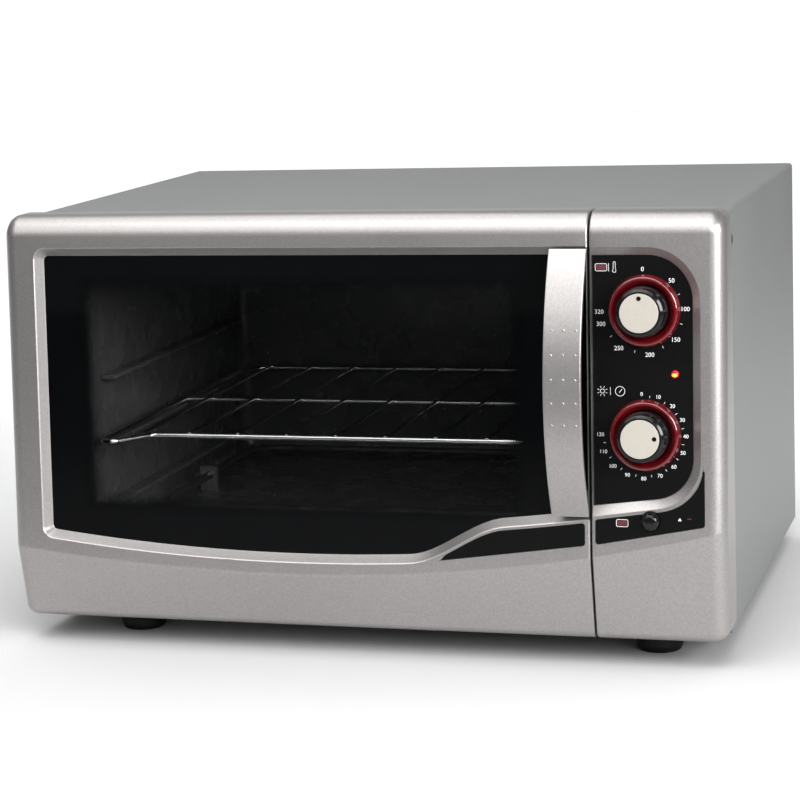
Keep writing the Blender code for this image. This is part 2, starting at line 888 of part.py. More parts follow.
def build_cord_inlet():
    """Flanged bush that lines the cord's hole in the rear cover."""
    profile = [
        (0.0045, 0.0065),
        (0.0085, 0.0065),
        (0.0110, 0.0050),
        (0.0110, 0.0003),
        (0.0080, -0.0010),
        (0.0080, -0.0120),
        (0.0045, -0.0120),
    ]
    outward = math.radians(-90.0)
    make_turned("cord_inlet", profile, inlet_place(), outward, "phenolic", 24, closed=True)


# Front mouldings


def recess_outline():
    """Outer edge of the control recess, clockwise as seen from the front."""
    right = 0.2706
    corners = [
        (RECESS_LEFT, 0.1017, 0.0),
        (RECESS_LEFT, 0.3025, 0.0),
        (right, 0.3025, 0.040),
        (right, 0.1130, 0.037),
    ]
    return rounded_outline(corners, 7)


def lower_insert_outline():
    """Black strip that follows the recess from below, clockwise from the front."""
    left = 0.1908
    right = 0.2739
    inner = 0.2728
    corners = [
        (left, 0.0794, 0.0022),
        (left, 0.0989, 0.0018),
        (inner, 0.1103, 0.037),
        (inner, 0.1375, 0.0),
        (right, 0.1365, 0.0),
        (right, 0.0950, 0.0022),
    ]
    return rounded_outline(corners, 6)


def build_fascia():
    """Moulded control fascia with its two black inserts."""
    left = SPLIT_X + SPLIT_GAP / 2
    panel = moulded_front(
        "fascia_panel",
        left,
        HALF_FRONT,
        0.0015,
        END_ROUND,
        CABINET_FRONT_Y - 0.0015,
        "pearl_silver",
    )
    crease = crease_height(HALF_FRONT) + 0.002
    cut(panel, pocket_cutter("fascia_hollow", left + 0.0012, HALF_FRONT - 0.0045, crease))
    seat = INSERT_DEPTH + 0.0018
    edge = recess_outline()
    recess = bevelled_cutter("control_recess", edge, RECESS_INSET, INSERT_DEPTH, seat, RECESS_LEFT)
    cut(panel, recess)
    lower = lower_insert_outline()
    cut(panel, make_cutter(leaning_plate("lower_seat", lower, -0.005, 0.0016, "phenolic")))
    for height in (TEMPERATURE_HEIGHT, TIMER_HEIGHT):
        cut(panel, shaft_hole_cutter(height, SHAFT_HOLE_RADIUS, "fascia"))
    cut(panel, round_hole(BUTTON_X, BUTTON_HEIGHT, BUTTON_RADIUS + 0.0007, "button_hole_fascia"))
    cut(panel, round_hole(PILOT_X, PILOT_HEIGHT, PILOT_RADIUS + 0.0008, "pilot_hole_fascia"))

    field = inset_outline(bevel_step(edge, RECESS_INSET, RECESS_LEFT), GAP)
    face = INSERT_DEPTH
    upper = leaning_plate("upper_insert", field, face, seat - GAP, "black_gloss")
    for height in (TEMPERATURE_HEIGHT, TIMER_HEIGHT):
        cut(upper, shaft_hole_cutter(height, SHAFT_HOLE_RADIUS - HOLE_PLAY, "insert"))
    cut(upper, round_hole(PILOT_X, PILOT_HEIGHT, PILOT_RADIUS + 0.0004, "pilot_hole_insert"))

    strip = inset_outline(lower, GAP)
    lower_insert = leaning_plate("lower_insert", strip, 0.0002, 0.0013, "black_gloss")
    hole_radius = BUTTON_RADIUS + HOLE_PLAY
    cut(lower_insert, round_hole(BUTTON_X, BUTTON_HEIGHT, hole_radius, "button_hole_insert"))


def round_hole(x, height, radius, name):
    outward = facing_axis()
    start = on_front(x, height) - outward * 0.022
    end = on_front(x, height) + outward * 0.010
    return make_cylinder(name, start, end, radius, "phenolic", 24)


def build_door_frame():
    """Moulded door: rounded shell with a bevelled window and slots for the hinge arms."""
    right = SPLIT_X - SPLIT_GAP / 2
    frame = moulded_front(
        "door_frame",
        -HALF_FRONT,
        right,
        END_ROUND,
        0.0015,
        DOOR_BACK_Y,
        "pearl_silver",
    )
    cut(frame, pocket_cutter("door_hollow", -HALF_FRONT + 0.0020, right - 0.0012, 0.0555))
    outline = window_outline()
    hole = bevelled_cutter("window_hole", outline, BEVEL_INSET, FACE_WALL, 0.020, WINDOW_RIGHT)
    cut(frame, hole)
    seat = make_cutter(leaning_plate("badge_seat", badge_outline(0.0), -0.005, 0.0014, "phenolic"))
    cut(frame, seat)
    play = 0.0012
    for name, height in HINGE_HEIGHTS.items():
        slot = make_box(
            f"{name}_hinge_slot",
            (-HALF_FRONT - THROUGH, HINGE_Y - 0.0068, above(height) - play),
            (-HALF_FRONT + 0.008, DOOR_BACK_Y + THROUGH, above(height) + ARM_THICKNESS + play),
            "phenolic",
        )
        cut(frame, slot)
    return frame


def badge_outline(inset):
    """Black strip under the window, from a sharp left tip to the door's right side."""
    drop = 0.0026
    start = 0.0690
    end = 0.1830
    count = 9
    upper = []
    for i in range(count):
        x = start + 0.004 + (end - start - 0.004) * i / (count - 1)
        upper.append(Vector((x, window_sill(x) - drop)))
    outline = [Vector((start, 0.0634)), *upper, Vector((end, 0.0785))]
    return inset_outline(outline, inset) if inset else outline


def build_door():
    build_door_frame()
    leaning_plate("door_badge", badge_outline(GAP), 0.0002, 0.0011, "black_gloss")
    pane = [
        Vector((-0.2700, 0.0575)),
        Vector((-0.2700, 0.3090)),
        Vector((0.1846, 0.3090)),
        Vector((0.1846, 0.0575)),
    ]
    near = FACE_WALL + GAP
    leaning_plate("door_glass", pane, near, near + GLASS_THICKNESS, "dark_glass")
    build_door_panel()
    build_handle(near)
    build_strike_and_catch()
    build_hinges()


def build_door_panel():
    """Inner steel frame that closes the back of the door around the window."""
    panel = make_box(
        "door_inner_frame",
        (-0.2770, DOOR_BACK_Y - PANEL_SHEET, above(0.0110)),
        (0.1842, DOOR_BACK_Y, above(0.3190)),
        "black_enamel",
    )
    view = make_box(
        "inner_window",
        (CAVITY_LEFT + 0.001, DOOR_BACK_Y - THROUGH, above(CAVITY_FLOOR + 0.001)),
        (CAVITY_RIGHT - 0.003, DOOR_BACK_Y + THROUGH, above(CAVITY_CEILING - 0.001)),
        "phenolic",
    )
    mouth = make_box(
        "catch_mouth",
        (0.1690, DOOR_BACK_Y - THROUGH, above(CATCH_HEIGHT - 0.016)),
        (0.1832, DOOR_BACK_Y + THROUGH, above(CATCH_HEIGHT + 0.016)),
        "phenolic",
    )
    cut(panel, view, mouth)


def build_strike_and_catch():
    """Spring catch on the front frame and the tongue on the door that it grips."""
    z = above(CATCH_HEIGHT)
    catch = make_box(
        "door_catch",
        (0.1715, CABINET_FRONT_Y - 0.0125, z - 0.012),
        (0.1815, FRAME_FACE_Y, z + 0.012),
        "zinc_steel",
    )
    slot = make_box(
        "catch_slot",
        (0.165, CABINET_FRONT_Y - 0.020, z - CATCH_GRIP),
        (0.188, CABINET_FRONT_Y - 0.0045, z + CATCH_GRIP),
        "zinc_steel",
    )
    cut(catch, slot)
    strike = make_box(
        "door_strike",
        (0.1735, CABINET_FRONT_Y - 0.0310, z - 0.009),
        (0.1843, CABINET_FRONT_Y - 0.0270, z + 0.009),
        "zinc_steel",
    )
    tongue = make_box(
        "strike_tongue",
        (0.1740, CABINET_FRONT_Y - 0.0290, z - TONGUE_THICKNESS / 2),
        (0.1800, CABINET_FRONT_Y - 0.0060, z + TONGUE_THICKNESS / 2),
        "zinc_steel",
    )
    join(strike, tongue)


def build_hinges():
    """Fixed arms with their pins on the front frame, and the door's bushes round them."""
    for name, height in HINGE_HEIGHTS.items():
        low = above(height)
        high = low + ARM_THICKNESS
        arm = make_box(
            f"{name}_hinge_arm",
            (HINGE_X - ARM_HALF_WIDTH, HINGE_Y - 0.0030, low),
            (HINGE_X + ARM_HALF_WIDTH, FRAME_FACE_Y, high),
            "zinc_steel",
        )
        foot = make_box(
            f"{name}_hinge_foot",
            (HINGE_X - 0.0010, CABINET_FRONT_Y - 0.0024, low - 0.0006),
            (HINGE_X + 0.0180, FRAME_FACE_Y, high + 0.0006),
            "zinc_steel",
        )
        inner_end = high if name == "lower" else low
        reach = PIN_LENGTH if name == "lower" else -PIN_LENGTH
        pin = make_cylinder(
            f"{name}_hinge_pin",
            (HINGE_X, HINGE_Y, inner_end - reach / 5),
            (HINGE_X, HINGE_Y, inner_end + reach),
            PIN_RADIUS,
            "zinc_steel",
            24,
        )
        join(arm, foot, pin)
        build_bush(name, inner_end, reach)


def build_bush(name, start, reach):
    """Bush in the door that turns on a hinge pin."""
    side = math.copysign(1.0, reach)
    ends = sorted((start + side * 0.0006, start + side * BUSH_HEIGHT))
    bush = make_box(
        f"{name}_hinge_bush",
        (HINGE_X - 0.0037, HINGE_Y - 0.0045, ends[0]),
        (HINGE_X + 0.0060, HINGE_Y + 0.0045, ends[1]),
        "brass",
    )
    bore = make_cylinder(
        f"{name}_bush_bore",
        (HINGE_X, HINGE_Y, ends[0] - 0.004),
        (HINGE_X, HINGE_Y, ends[1] + 0.004),
        (PIN_RADIUS + PIN_PLAY) / math.cos(math.pi / 24),
        "brass",
        24,
    )
    cut(bush, bore)


def handle_bow(height):
    """How far the strap stands out from the leaning face at a height."""
    middle = (HANDLE_TOP + HANDLE_BOTTOM) / 2
    half = (HANDLE_TOP - HANDLE_BOTTOM) / 2
    radius = (half**2 + HANDLE_BOW**2) / (2 * HANDLE_BOW)
    arc = math.sqrt(radius**2 - (height - middle) ** 2) - (radius - HANDLE_BOW)
    return HANDLE_LIFT + arc


def build_handle(glass_depth):
    """Bowed strap handle with its two feet, and the screws that hold it."""
    count = 15
    heights = [HANDLE_BOTTOM + (HANDLE_TOP - HANDLE_BOTTOM) * i / count for i in range(count + 1)]
    outer = [(plane_y(h) - handle_bow(h), h) for h in heights]
    inner = [
        (plane_y(h) - max(handle_bow(h) - HANDLE_THICKNESS, GAP), h) for h in reversed(heights)
    ]
    outline = outer + inner
    sections = [
        [Vector((x, y, above(h))) for y, h in outline] for x in (HANDLE_LEFT, HANDLE_RIGHT)
    ]
    strap = make_loft("handle_strap", sections, "pearl_silver")
    for name, foot_low, foot_high in (
        ("lower", HANDLE_BOTTOM + 0.0080, HANDLE_BOTTOM + 0.0190),
        ("upper", HANDLE_TOP - 0.0190, HANDLE_TOP - 0.0080),
    ):
        outline = [
            Vector((HANDLE_LEFT + 0.003, foot_low)),
            Vector((HANDLE_LEFT + 0.003, foot_high)),
            Vector((WINDOW_RIGHT - 0.0020, foot_high)),
            Vector((WINDOW_RIGHT - 0.0020, foot_low)),
        ]
        foot_end = glass_depth - GAP
        foot = leaning_plate(f"handle_foot_{name}", outline, -0.005, foot_end, "pearl_silver")
        join(strap, foot)
        middle = (foot_low + foot_high) / 2
        outward = facing_axis()
        back = on_front((HANDLE_LEFT + HANDLE_RIGHT) / 2, middle, glass_depth + GLASS_THICKNESS)
        make_cylinder(
            f"handle_screw_{name}",
            back - outward * 0.0004,
            back - outward * 0.0034,
            0.0040,
            "zinc_steel",
            16,
        )


# Controls


def knob_profile():
    top = KNOB_PROUD
    return [
        (0.0, top),
        (CAP_RADIUS + 0.0010, top),
        (0.0178, top - 0.0010),
        (0.0189, top - 0.0040),
        (KNOB_RADIUS, top - 0.0090),
        (KNOB_RADIUS, -INSERT_DEPTH + 0.0008),
        (SHAFT_RADIUS + 0.0003, -INSERT_DEPTH + 0.0008),
        (SHAFT_RADIUS + 0.0003, 0.0095),
        (0.0, 0.0095),
    ]


def ring_profile():
    base = -INSERT_DEPTH + GAP
    return [
        (0.0202, -0.0005),
        (0.0222, 0.0018),
        (0.0244, 0.0018),
        (0.0263, 0.0002),
        (RING_RADIUS, -0.0022),
        (RING_RADIUS, base),
        (0.0202, base),
    ]


def build_knob(name, height, rest_angle, body_depth):
    """Knob, its cap and its shaft on one tilted axis, and the fixed ring round them."""
    centre = on_front(KNOB_X, height)
    pivot = bpy.data.objects.new(f"{name}_axis", None)
    OVEN.objects.link(pivot)
    pivot.location = centre
    pivot.rotation_euler = (FACING_TILT, 0.0, 0.0)

    knob = make_turned(f"{name}_knob", knob_profile(), (0, 0, 0), 0.0, "black_gloss", 32)
    cap_low = KNOB_PROUD + GAP
    cap_name = f"{name}_knob_cap"
    cap_high = cap_low + CAP_THICKNESS
    cap = make_cylinder(cap_name, (0, 0, cap_low), (0, 0, cap_high), CAP_RADIUS, "champagne", 32)
    dot_reach = 0.0108
    dot_place = Vector((math.sin(rest_angle) * dot_reach, math.cos(rest_angle) * dot_reach, 0))
    dot = make_cylinder(
        f"{name}_dot",
        dot_place + Vector((0, 0, cap_low + 0.0007)),
        dot_place + Vector((0, 0, cap_low + 0.0050)),
        0.0013,
        "phenolic",
        12,
    )
    cut(cap, dot)
    inner_end = (0, 0, -body_depth - 0.0080)
    shaft = make_cylinder(f"{name}_shaft", (0, 0, 0.0090), inner_end, SHAFT_RADIUS, "zinc_steel", 16)
    for piece in (knob, cap, dot, shaft):
        piece.parent = pivot
    tilt = FACING_TILT
    make_turned(f"{name}_ring", ring_profile(), centre, tilt, "ruby_plastic", 40, closed=True)


def tilted(piece, centre):
    """Stands a piece made along Z square to the leaning face."""
    piece.location = centre
    piece.rotation_euler = (FACING_TILT, 0.0, 0.0)
    return piece


def build_control_body(name, height, front, size, depth):
    """Thermostat or timer case behind the front frame, bored for its shaft."""
    centre = on_front(KNOB_X, height)
    half = size / 2
    low = (-half, -half, -front - depth)
    high = (half, half, -front - 0.004)
    case = make_box(name, low, high, "phenolic", 0.0015)
    neck_start = (0, 0, -front - 0.008)
    neck = make_cylinder(name + "_neck", neck_start, (0, 0, -front), 0.010, "phenolic", 20)
    bore_start = (0, 0, -front - 0.0095)
    bore_end = (0, 0, -front + THROUGH)
    bore = make_cylinder(name + "_bore", bore_start, bore_end, SHAFT_BORE, "phenolic", 16)
    join(case, neck)
    cut(case, bore)
    for piece in (case, neck, bore):
        tilted(piece, centre)
    return centre


def build_controls():
    """Both knobs with what they turn, the timer's bell, the push button and the pilot."""
    build_knob("temperature", TEMPERATURE_HEIGHT, 0.0, THERMOSTAT_DEPTH)
    build_knob("timer", TIMER_HEIGHT, TIMER_REST_ANGLE, TIMER_DEPTH)
    build_control_body("thermostat_body", TEMPERATURE_HEIGHT, THERMOSTAT_DEPTH, 0.036, 0.026)
    timer = build_control_body("timer_body", TIMER_HEIGHT, TIMER_DEPTH, 0.046, 0.034)
    bell_profile = [
        (0.0, -0.0840),
        (0.0060, -0.0840),
        (0.0150, -0.0870),
        (0.0185, -0.0930),
        (0.0172, -0.0930),
        (0.0142, -0.0880),
        (0.0060, -0.0852),
        (0.0, -0.0852),
    ]
    make_turned("timer_bell", bell_profile, timer, FACING_TILT, "zinc_steel", 24)
    build_button()
    build_pilot()


def build_button():
    """Domed push button and the switch that it works."""
    centre = on_front(BUTTON_X, BUTTON_HEIGHT)
    profile = [
        (0.0, 0.0056),
        (0.0036, 0.0050),
        (0.0060, 0.0034),
        (BUTTON_RADIUS, 0.0008),
        (BUTTON_RADIUS, -0.0070),
        (0.0030, -0.0070),
        (0.0030, -0.0220),
        (0.0, -0.0220),
    ]
    make_turned("grill_button", profile, centre, FACING_TILT, "black_gloss", 28)
    low = (-0.010, -0.009, -0.0360)
    high = (0.010, 0.009, -0.0150)
    switch = make_box("grill_switch_body", low, high, "phenolic", 0.001)
    bore = make_cylinder("switch_bore", (0, 0, -0.0290), (0, 0, -0.0050), 0.0034, "phenolic", 16)
    cut(switch, bore)
    for piece in (switch, bore):
        tilted(piece, centre)


def build_pilot():
    """Amber lens that glows through the upper insert."""
    centre = on_front(PILOT_X, PILOT_HEIGHT)
    face = -INSERT_DEPTH
    profile = [
        (0.0, face + 0.0014),
        (0.0020, face + 0.0011),
        (PILOT_RADIUS, face + 0.0002),
        (PILOT_RADIUS, face - 0.0120),
        (0.0, face - 0.0120),
    ]
    make_turned("pilot_lamp", profile, centre, FACING_TILT, "amber_lens", 20)


# Rack, feet and screws


def rack_frame_path():
    """Outer wire of the rack: straight rails with ears that reach forward at both ends."""
    half = RACK_HALF_WIDTH
    front = CABINET_FRONT_Y + RACK_FRONT_Y
    ear = CABINET_FRONT_Y + RACK_EAR_Y
    back = CABINET_FRONT_Y + RACK_BACK_Y
    corners = [
        (-half + 0.034, front, 0.008),
        (-half + 0.010, ear, 0.006),
        (-half, ear + 0.003, 0.004),
        (-half, back, 0.028),
        (half, back, 0.028),
        (half, ear + 0.003, 0.004),
        (half - 0.010, ear, 0.006),
        (half - 0.034, front, 0.008),
    ]
    z = above(RACK_HEIGHT)
    return [(RACK_CENTRE_X + p.x, p.y, z) for p in rounded_outline(corners, 3)]


def build_rack():
    """Wire shelf: a bent frame wire, one cross rail and nine wires welded on top."""
    rack = solid_from_curve(
        make_tube("wire_rack", rack_frame_path(), FRAME_WIRE, "chrome_wire", cyclic=True)
    )
    sunk = 0.0004
    z = above(RACK_HEIGHT) - sunk
    middle_y = CABINET_FRONT_Y + (RACK_FRONT_Y + RACK_BACK_Y) / 2
    rail = make_cylinder(
        "rack_cross_rail",
        (RACK_CENTRE_X - RACK_HALF_WIDTH, middle_y, z),
        (RACK_CENTRE_X + RACK_HALF_WIDTH, middle_y, z),
        RAIL_WIRE,
        "chrome_wire",
        8,
    )
    join(rack, rail)
    first = RACK_CENTRE_X - RACK_WIRE_PITCH * (RACK_WIRE_COUNT - 1) / 2
    for i in range(RACK_WIRE_COUNT):
        x = first + RACK_WIRE_PITCH * i
        wire = make_cylinder(
            f"rack_wire_{i}",
            (x, CABINET_FRONT_Y + RACK_FRONT_Y - 0.0015, z + FRAME_WIRE),
            (x, CABINET_FRONT_Y + RACK_BACK_Y + 0.0015, z + FRAME_WIRE),
            CROSS_WIRE,
            "chrome_wire",
            8,
        )
        join(rack, wire)


def build_feet():
    """Four moulded feet under the base pan."""
    profile = [
        (0.0, FOOT_HEIGHT - GAP),
        (FOOT_RADIUS - 0.001, FOOT_HEIGHT - GAP),
        (FOOT_RADIUS, FOOT_HEIGHT - 0.0015),
        (FOOT_RADIUS, 0.0020),
        (FOOT_RADIUS - 0.0020, 0.0),
        (0.0, 0.0),
    ]
    for side, x in zip(("left", "right"), FOOT_XS):
        for end, y in zip(("front", "rear"), FOOT_YS):
            place = (x, CABINET_FRONT_Y + y, 0.0)
            make_turned(f"foot_{end}_{side}", profile, place, 0.0, "black_rubber", 24)


def screw_head(name, place, outward):
    """Pan-head screw lying against a sheet."""
    start = Vector(place) + Vector(outward) * GAP
    end = Vector(place) + Vector(outward) * 0.0020
    make_cylinder(name, start, end, SCREW_RADIUS, "screw_black", 16)


def build_screws():
    """One screw near the top of each side, and one near each corner of the back."""
    side_y = CABINET_FRONT_Y + 0.0160
    for side, sign in (("left", -1), ("right", 1)):
        place = (sign * HALF_CABINET, side_y, above(SCREW_UPPER_HEIGHT - 0.003))
        screw_head(f"side_screw_{side}", place, (sign, 0, 0))
        for level, height in (("lower", SCREW_LOWER_HEIGHT), ("upper", SCREW_UPPER_HEIGHT)):
            place = (sign * REAR_SCREW_X, CABINET_BACK_Y - 0.0010, above(height))
            screw_head(f"rear_screw_{level}_{side}", place, (0, 1, 0))


def build_oven():
    build_cabinet_wrap()
    build_base_pan()
    build_rear_cover()
    build_front_frame()
    build_cavity()
    build_elements()
    build_lamp()
    build_thermostat_bulb()
    build_terminal_block()
    build_cord_inlet()
    build_fascia()
    build_door()
    build_controls()
    build_rack()
    build_feet()
    build_screws()


build_oven()
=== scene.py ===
import json
import math

import bmesh
import bpy
from mathutils import Matrix, Vector


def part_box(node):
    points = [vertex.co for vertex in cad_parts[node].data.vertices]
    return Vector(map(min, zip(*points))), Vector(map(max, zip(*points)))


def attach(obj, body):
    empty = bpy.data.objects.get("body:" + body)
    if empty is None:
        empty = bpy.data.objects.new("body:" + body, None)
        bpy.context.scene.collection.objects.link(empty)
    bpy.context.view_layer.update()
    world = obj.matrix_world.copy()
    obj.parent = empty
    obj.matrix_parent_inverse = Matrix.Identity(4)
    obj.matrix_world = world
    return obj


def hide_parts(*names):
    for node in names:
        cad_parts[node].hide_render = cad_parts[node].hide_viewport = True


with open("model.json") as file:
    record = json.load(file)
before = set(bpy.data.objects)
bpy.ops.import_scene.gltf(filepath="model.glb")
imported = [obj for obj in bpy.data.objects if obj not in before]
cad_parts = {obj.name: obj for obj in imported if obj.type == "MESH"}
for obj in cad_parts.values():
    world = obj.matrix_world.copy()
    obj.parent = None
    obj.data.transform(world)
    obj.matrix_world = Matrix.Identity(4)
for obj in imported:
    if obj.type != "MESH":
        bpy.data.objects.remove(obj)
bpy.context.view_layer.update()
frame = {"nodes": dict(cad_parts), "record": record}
nodes = frame["nodes"]
slotOf = {row["node"]: row["material_slot"] for row in frame["record"]["subparts"]}
print("stage: frame loaded,", len(nodes), "parts")

# ---- what the frame says about the cabinet, and the leaning front that is built on it
cabinetLow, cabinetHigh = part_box("cabinet_wrap")
doorLow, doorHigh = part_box("door_frame")
fasciaLow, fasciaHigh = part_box("fascia_panel")
strapLow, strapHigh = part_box("handle_strap")
glassLow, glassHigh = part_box("door_glass")
linerLow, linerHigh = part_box("cavity_liner")

front = {
    "y": cabinetLow.y - 0.0003,      # the plane behind the mouldings
    "base": cabinetLow.z,            # heights on the front are counted from here
    "tall": cabinetHigh.z - cabinetLow.z,
    "lean": math.radians(4.0),
    "proud": 0.0345,
    "bottomProud": 0.042,
    "topRound": 0.018,
    "bottomRound": 0.008,
    "creaseRound": 0.010,
    "endRound": 0.012,
    "innerRound": 0.0015,
    "wall": 0.008,
}
tilt = math.radians(90.0) - front["lean"]


def planeY(height):
    return front["y"] - front["proud"] - (front["tall"] - height) * math.tan(front["lean"])


def onFront(x, height, depth=0.0):
    return Vector((x, planeY(height) + depth, front["base"] + height))


def facing(x, height, depth=0.0):
    # stands a flat piece on the leaning front: its X to the right, its Y up the slope, its Z outwards
    return Matrix.Translation(onFront(x, height, depth)) @ Matrix.Rotation(tilt, 4, "X")


def turnBy(degrees, axis):
    return Matrix.Rotation(math.radians(degrees), 4, axis)


# ---- camera
camera = bpy.data.cameras.new("view")
camera.lens = 107.84
camera.sensor_width = 36.0
camera.clip_end = 1000.0
viewer = bpy.data.objects.new("view", camera)
bpy.context.scene.collection.objects.link(viewer)
bpy.context.scene.camera = viewer
aim = {"azimuth": 16.73, "pitch": -10.49, "roll": 2.28, "place": (0.5588, -1.9325, 0.5389)}
turn = turnBy(aim["azimuth"], "Z")
turn = turn @ turnBy(aim["pitch"], "X")
turn = turn @ turnBy(aim["roll"], "Y")
viewer.matrix_world = Matrix.Translation(aim["place"]) @ turn @ turnBy(90.0, "X")


# ---- shader building
class Signal:
    # a number in a shader: sums and products on it add Math nodes
    def __init__(self, paint, socket):
        self.paint = paint
        self.socket = socket

    def through(self, operation, *values):
        node = self.paint.add("ShaderNodeMath", {"operation": operation}, dict(enumerate(values)))
        return Signal(self.paint, node.outputs[0])

    def __add__(self, other):
        return self.through("ADD", self, other)

    def __radd__(self, other):
        return self.through("ADD", other, self)

    def __sub__(self, other):
        return self.through("SUBTRACT", self, other)

    def __rsub__(self, other):
        return self.through("SUBTRACT", other, self)

    def __mul__(self, other):
        return self.through("MULTIPLY", self, other)

    def __rmul__(self, other):
        return self.through("MULTIPLY", other, self)

    def __truediv__(self, other):
        return self.through("DIVIDE", self, other)

    def sine(self):
        return self.through("SINE", self)

    def least(self, other):
        return self.through("MINIMUM", self, other)

    def most(self, other):
        return self.through("MAXIMUM", self, other)

    def fade(self, low, high):
        # 0 at low, 1 at high, eased between them
        values = {"Value": self, "From Min": low, "From Max": high}
        node = self.paint.add("ShaderNodeMapRange", {"interpolation_type": "SMOOTHSTEP"}, values)
        return Signal(self.paint, node.outputs["Result"])


class Paint:
    # one material, and the nodes that feed its shader
    def __init__(self, name, roughness, metallic=0.0, **steady):
        self.material = bpy.data.materials.new(name)
        self.material.use_nodes = True
        self.tree = self.material.node_tree
        self.shader = self.tree.nodes["Principled BSDF"]
        self.place = self.add("ShaderNodeTexCoord").outputs["Object"]
        self.set("Roughness", roughness)
        self.set("Metallic", metallic)
        for key, value in steady.items():
            self.set(key.replace("_", " "), value)

    def add(self, kind, settings=None, sockets=None):
        node = self.tree.nodes.new(kind)
        for key, value in (settings or {}).items():
            setattr(node, key, value)
        for key, value in (sockets or {}).items():
            self.feed(node.inputs[key], value)
        return node

    def feed(self, socket, value):
        source = value.socket if isinstance(value, Signal) else value
        if isinstance(source, bpy.types.NodeSocket):
            self.tree.links.new(source, socket)
        else:
            socket.default_value = (*source, 1.0) if socket.type == "RGBA" else source

    def set(self, name, value):
        self.feed(self.shader.inputs[name], value)

    def noise(self, scale, detail=2.0, stretch=(1, 1, 1)):
        place = self.add("ShaderNodeVectorMath", {"operation": "MULTIPLY"}, {0: self.place, 1: stretch})
        sockets = {"Vector": place.outputs[0], "Scale": scale, "Detail": detail}
        return Signal(self, self.add("ShaderNodeTexNoise", {}, sockets).outputs[0])

    def cells(self, scale, output="Distance"):
        node = self.add("ShaderNodeTexVoronoi", {}, {"Vector": self.place, "Scale": scale})
        return node.outputs[output]

    def axes(self):
        parts = self.add("ShaderNodeSeparateXYZ", {}, {0: self.place})
        return [Signal(self, parts.outputs[i]) for i in range(3)]

    def blend(self, share, dark, light):
        sockets = {0: share, 6: dark, 7: light}
        return self.add("ShaderNodeMix", {"data_type": "RGBA"}, sockets).outputs[2]

    def colour(self, share, dark, light):
        self.set("Base Color", self.blend(share, dark, light))

    def bump(self, height, depth):
        sockets = {"Height": height, "Distance": depth, "Strength": 1.0}
        self.set("Normal", self.add("ShaderNodeBump", {}, sockets).outputs["Normal"])


def shade(colour, factor):
    return tuple(min(1.0, part * factor) for part in colour)


def grained(name, colour, spread, grain, roughness, roughSpread=0.05, depth=0.0, metallic=0.0, **steady):
    # an even finish: fine grain over broad, faint clouds
    paint = Paint(name, roughness, metallic, **steady)
    fine = paint.noise(grain, 3.0)
    broad = paint.noise(14.0, 3.0)
    share = (fine * 0.7 + broad * 0.3).fade(0.32, 0.68)
    paint.colour(share, shade(colour, 1 - spread), shade(colour, 1 + spread))
    paint.set("Roughness", broad * roughSpread * 2 + (roughness - roughSpread))
    if depth:
        paint.bump(fine, depth)
    return paint


def makePearlSilver(name, rimX=None):
    # silver paint with fine flakes; past rimX the front beside the window is black
    paint = Paint(name, 0.36, 0.85, Coat_Weight=0.15, Coat_Roughness=0.25)
    flakes = paint.noise(1500.0, 1.0)
    grain = paint.noise(620.0, 2.0)
    clouds = paint.noise(9.0, 2.0)
    share = (flakes * 0.55 + grain * 0.35 + clouds * 0.10).fade(0.36, 0.64)
    silver = paint.blend(share, (0.325, 0.309, 0.303), (0.398, 0.382, 0.376))
    if rimX:
        x, y, z = paint.axes()
        low = front["base"] + windowSill(window["right"]) - 0.0008
        high = front["base"] + window["top"] - 0.0004
        lean = math.tan(front["lean"])
        depth = y - (planeY(0.0) - front["base"] * lean) - z * lean
        beside = x.fade(rimX - 0.0002, rimX + 0.0002) * (1 - depth.fade(0.004, 0.006))
        within = z.fade(low - 0.0003, low + 0.0003) * (1 - z.fade(high - 0.0003, high + 0.0003))
        rim = beside * within
        silver = paint.blend(rim, silver, (0.008, 0.008, 0.008))
        paint.set("Metallic", 0.85 - rim * 0.85)
    paint.set("Base Color", silver)
    paint.set("Roughness", 0.30 + flakes * 0.10 + clouds * 0.04)
    paint.bump(flakes + grain * 0.6, 0.00003)
    return paint.material


def makeCabinetPaint():
    # smooth epoxy powder coat with a faint orange peel
    paint = Paint("cabinetPaint", 0.42, 0.25)
    peel = paint.noise(420.0, 2.0)
    clouds = paint.noise(6.0, 3.0)
    share = (peel * 0.4 + clouds * 0.6).fade(0.30, 0.70)
    paint.colour(share, (0.170, 0.176, 0.175), (0.196, 0.202, 0.201))
    paint.set("Roughness", 0.38 + clouds * 0.10)
    paint.bump(peel, 0.00005)
    return paint.material


def makeEnamel():
    # black vitreous enamel, scattered with small white specks of two sizes
    paint = Paint("speckledEnamel", 0.22, 0.0)
    wander = paint.noise(35.0, 2.0)
    patches = wander.fade(0.42, 0.60)
    large = 1 - Signal(paint, paint.cells(150.0)).fade(0.045, 0.105)
    small = 1 - Signal(paint, paint.cells(360.0)).fade(0.05, 0.11)
    specks = (large * patches).most(small * patches * 0.55)
    black = paint.blend(wander, (0.050, 0.051, 0.050), (0.078, 0.079, 0.076))
    paint.colour(specks, black, (0.62, 0.60, 0.56))
    paint.set("Roughness", 0.20 + wander * 0.14)
    paint.bump(specks * 0.4 + wander, 0.00012)
    return paint.material


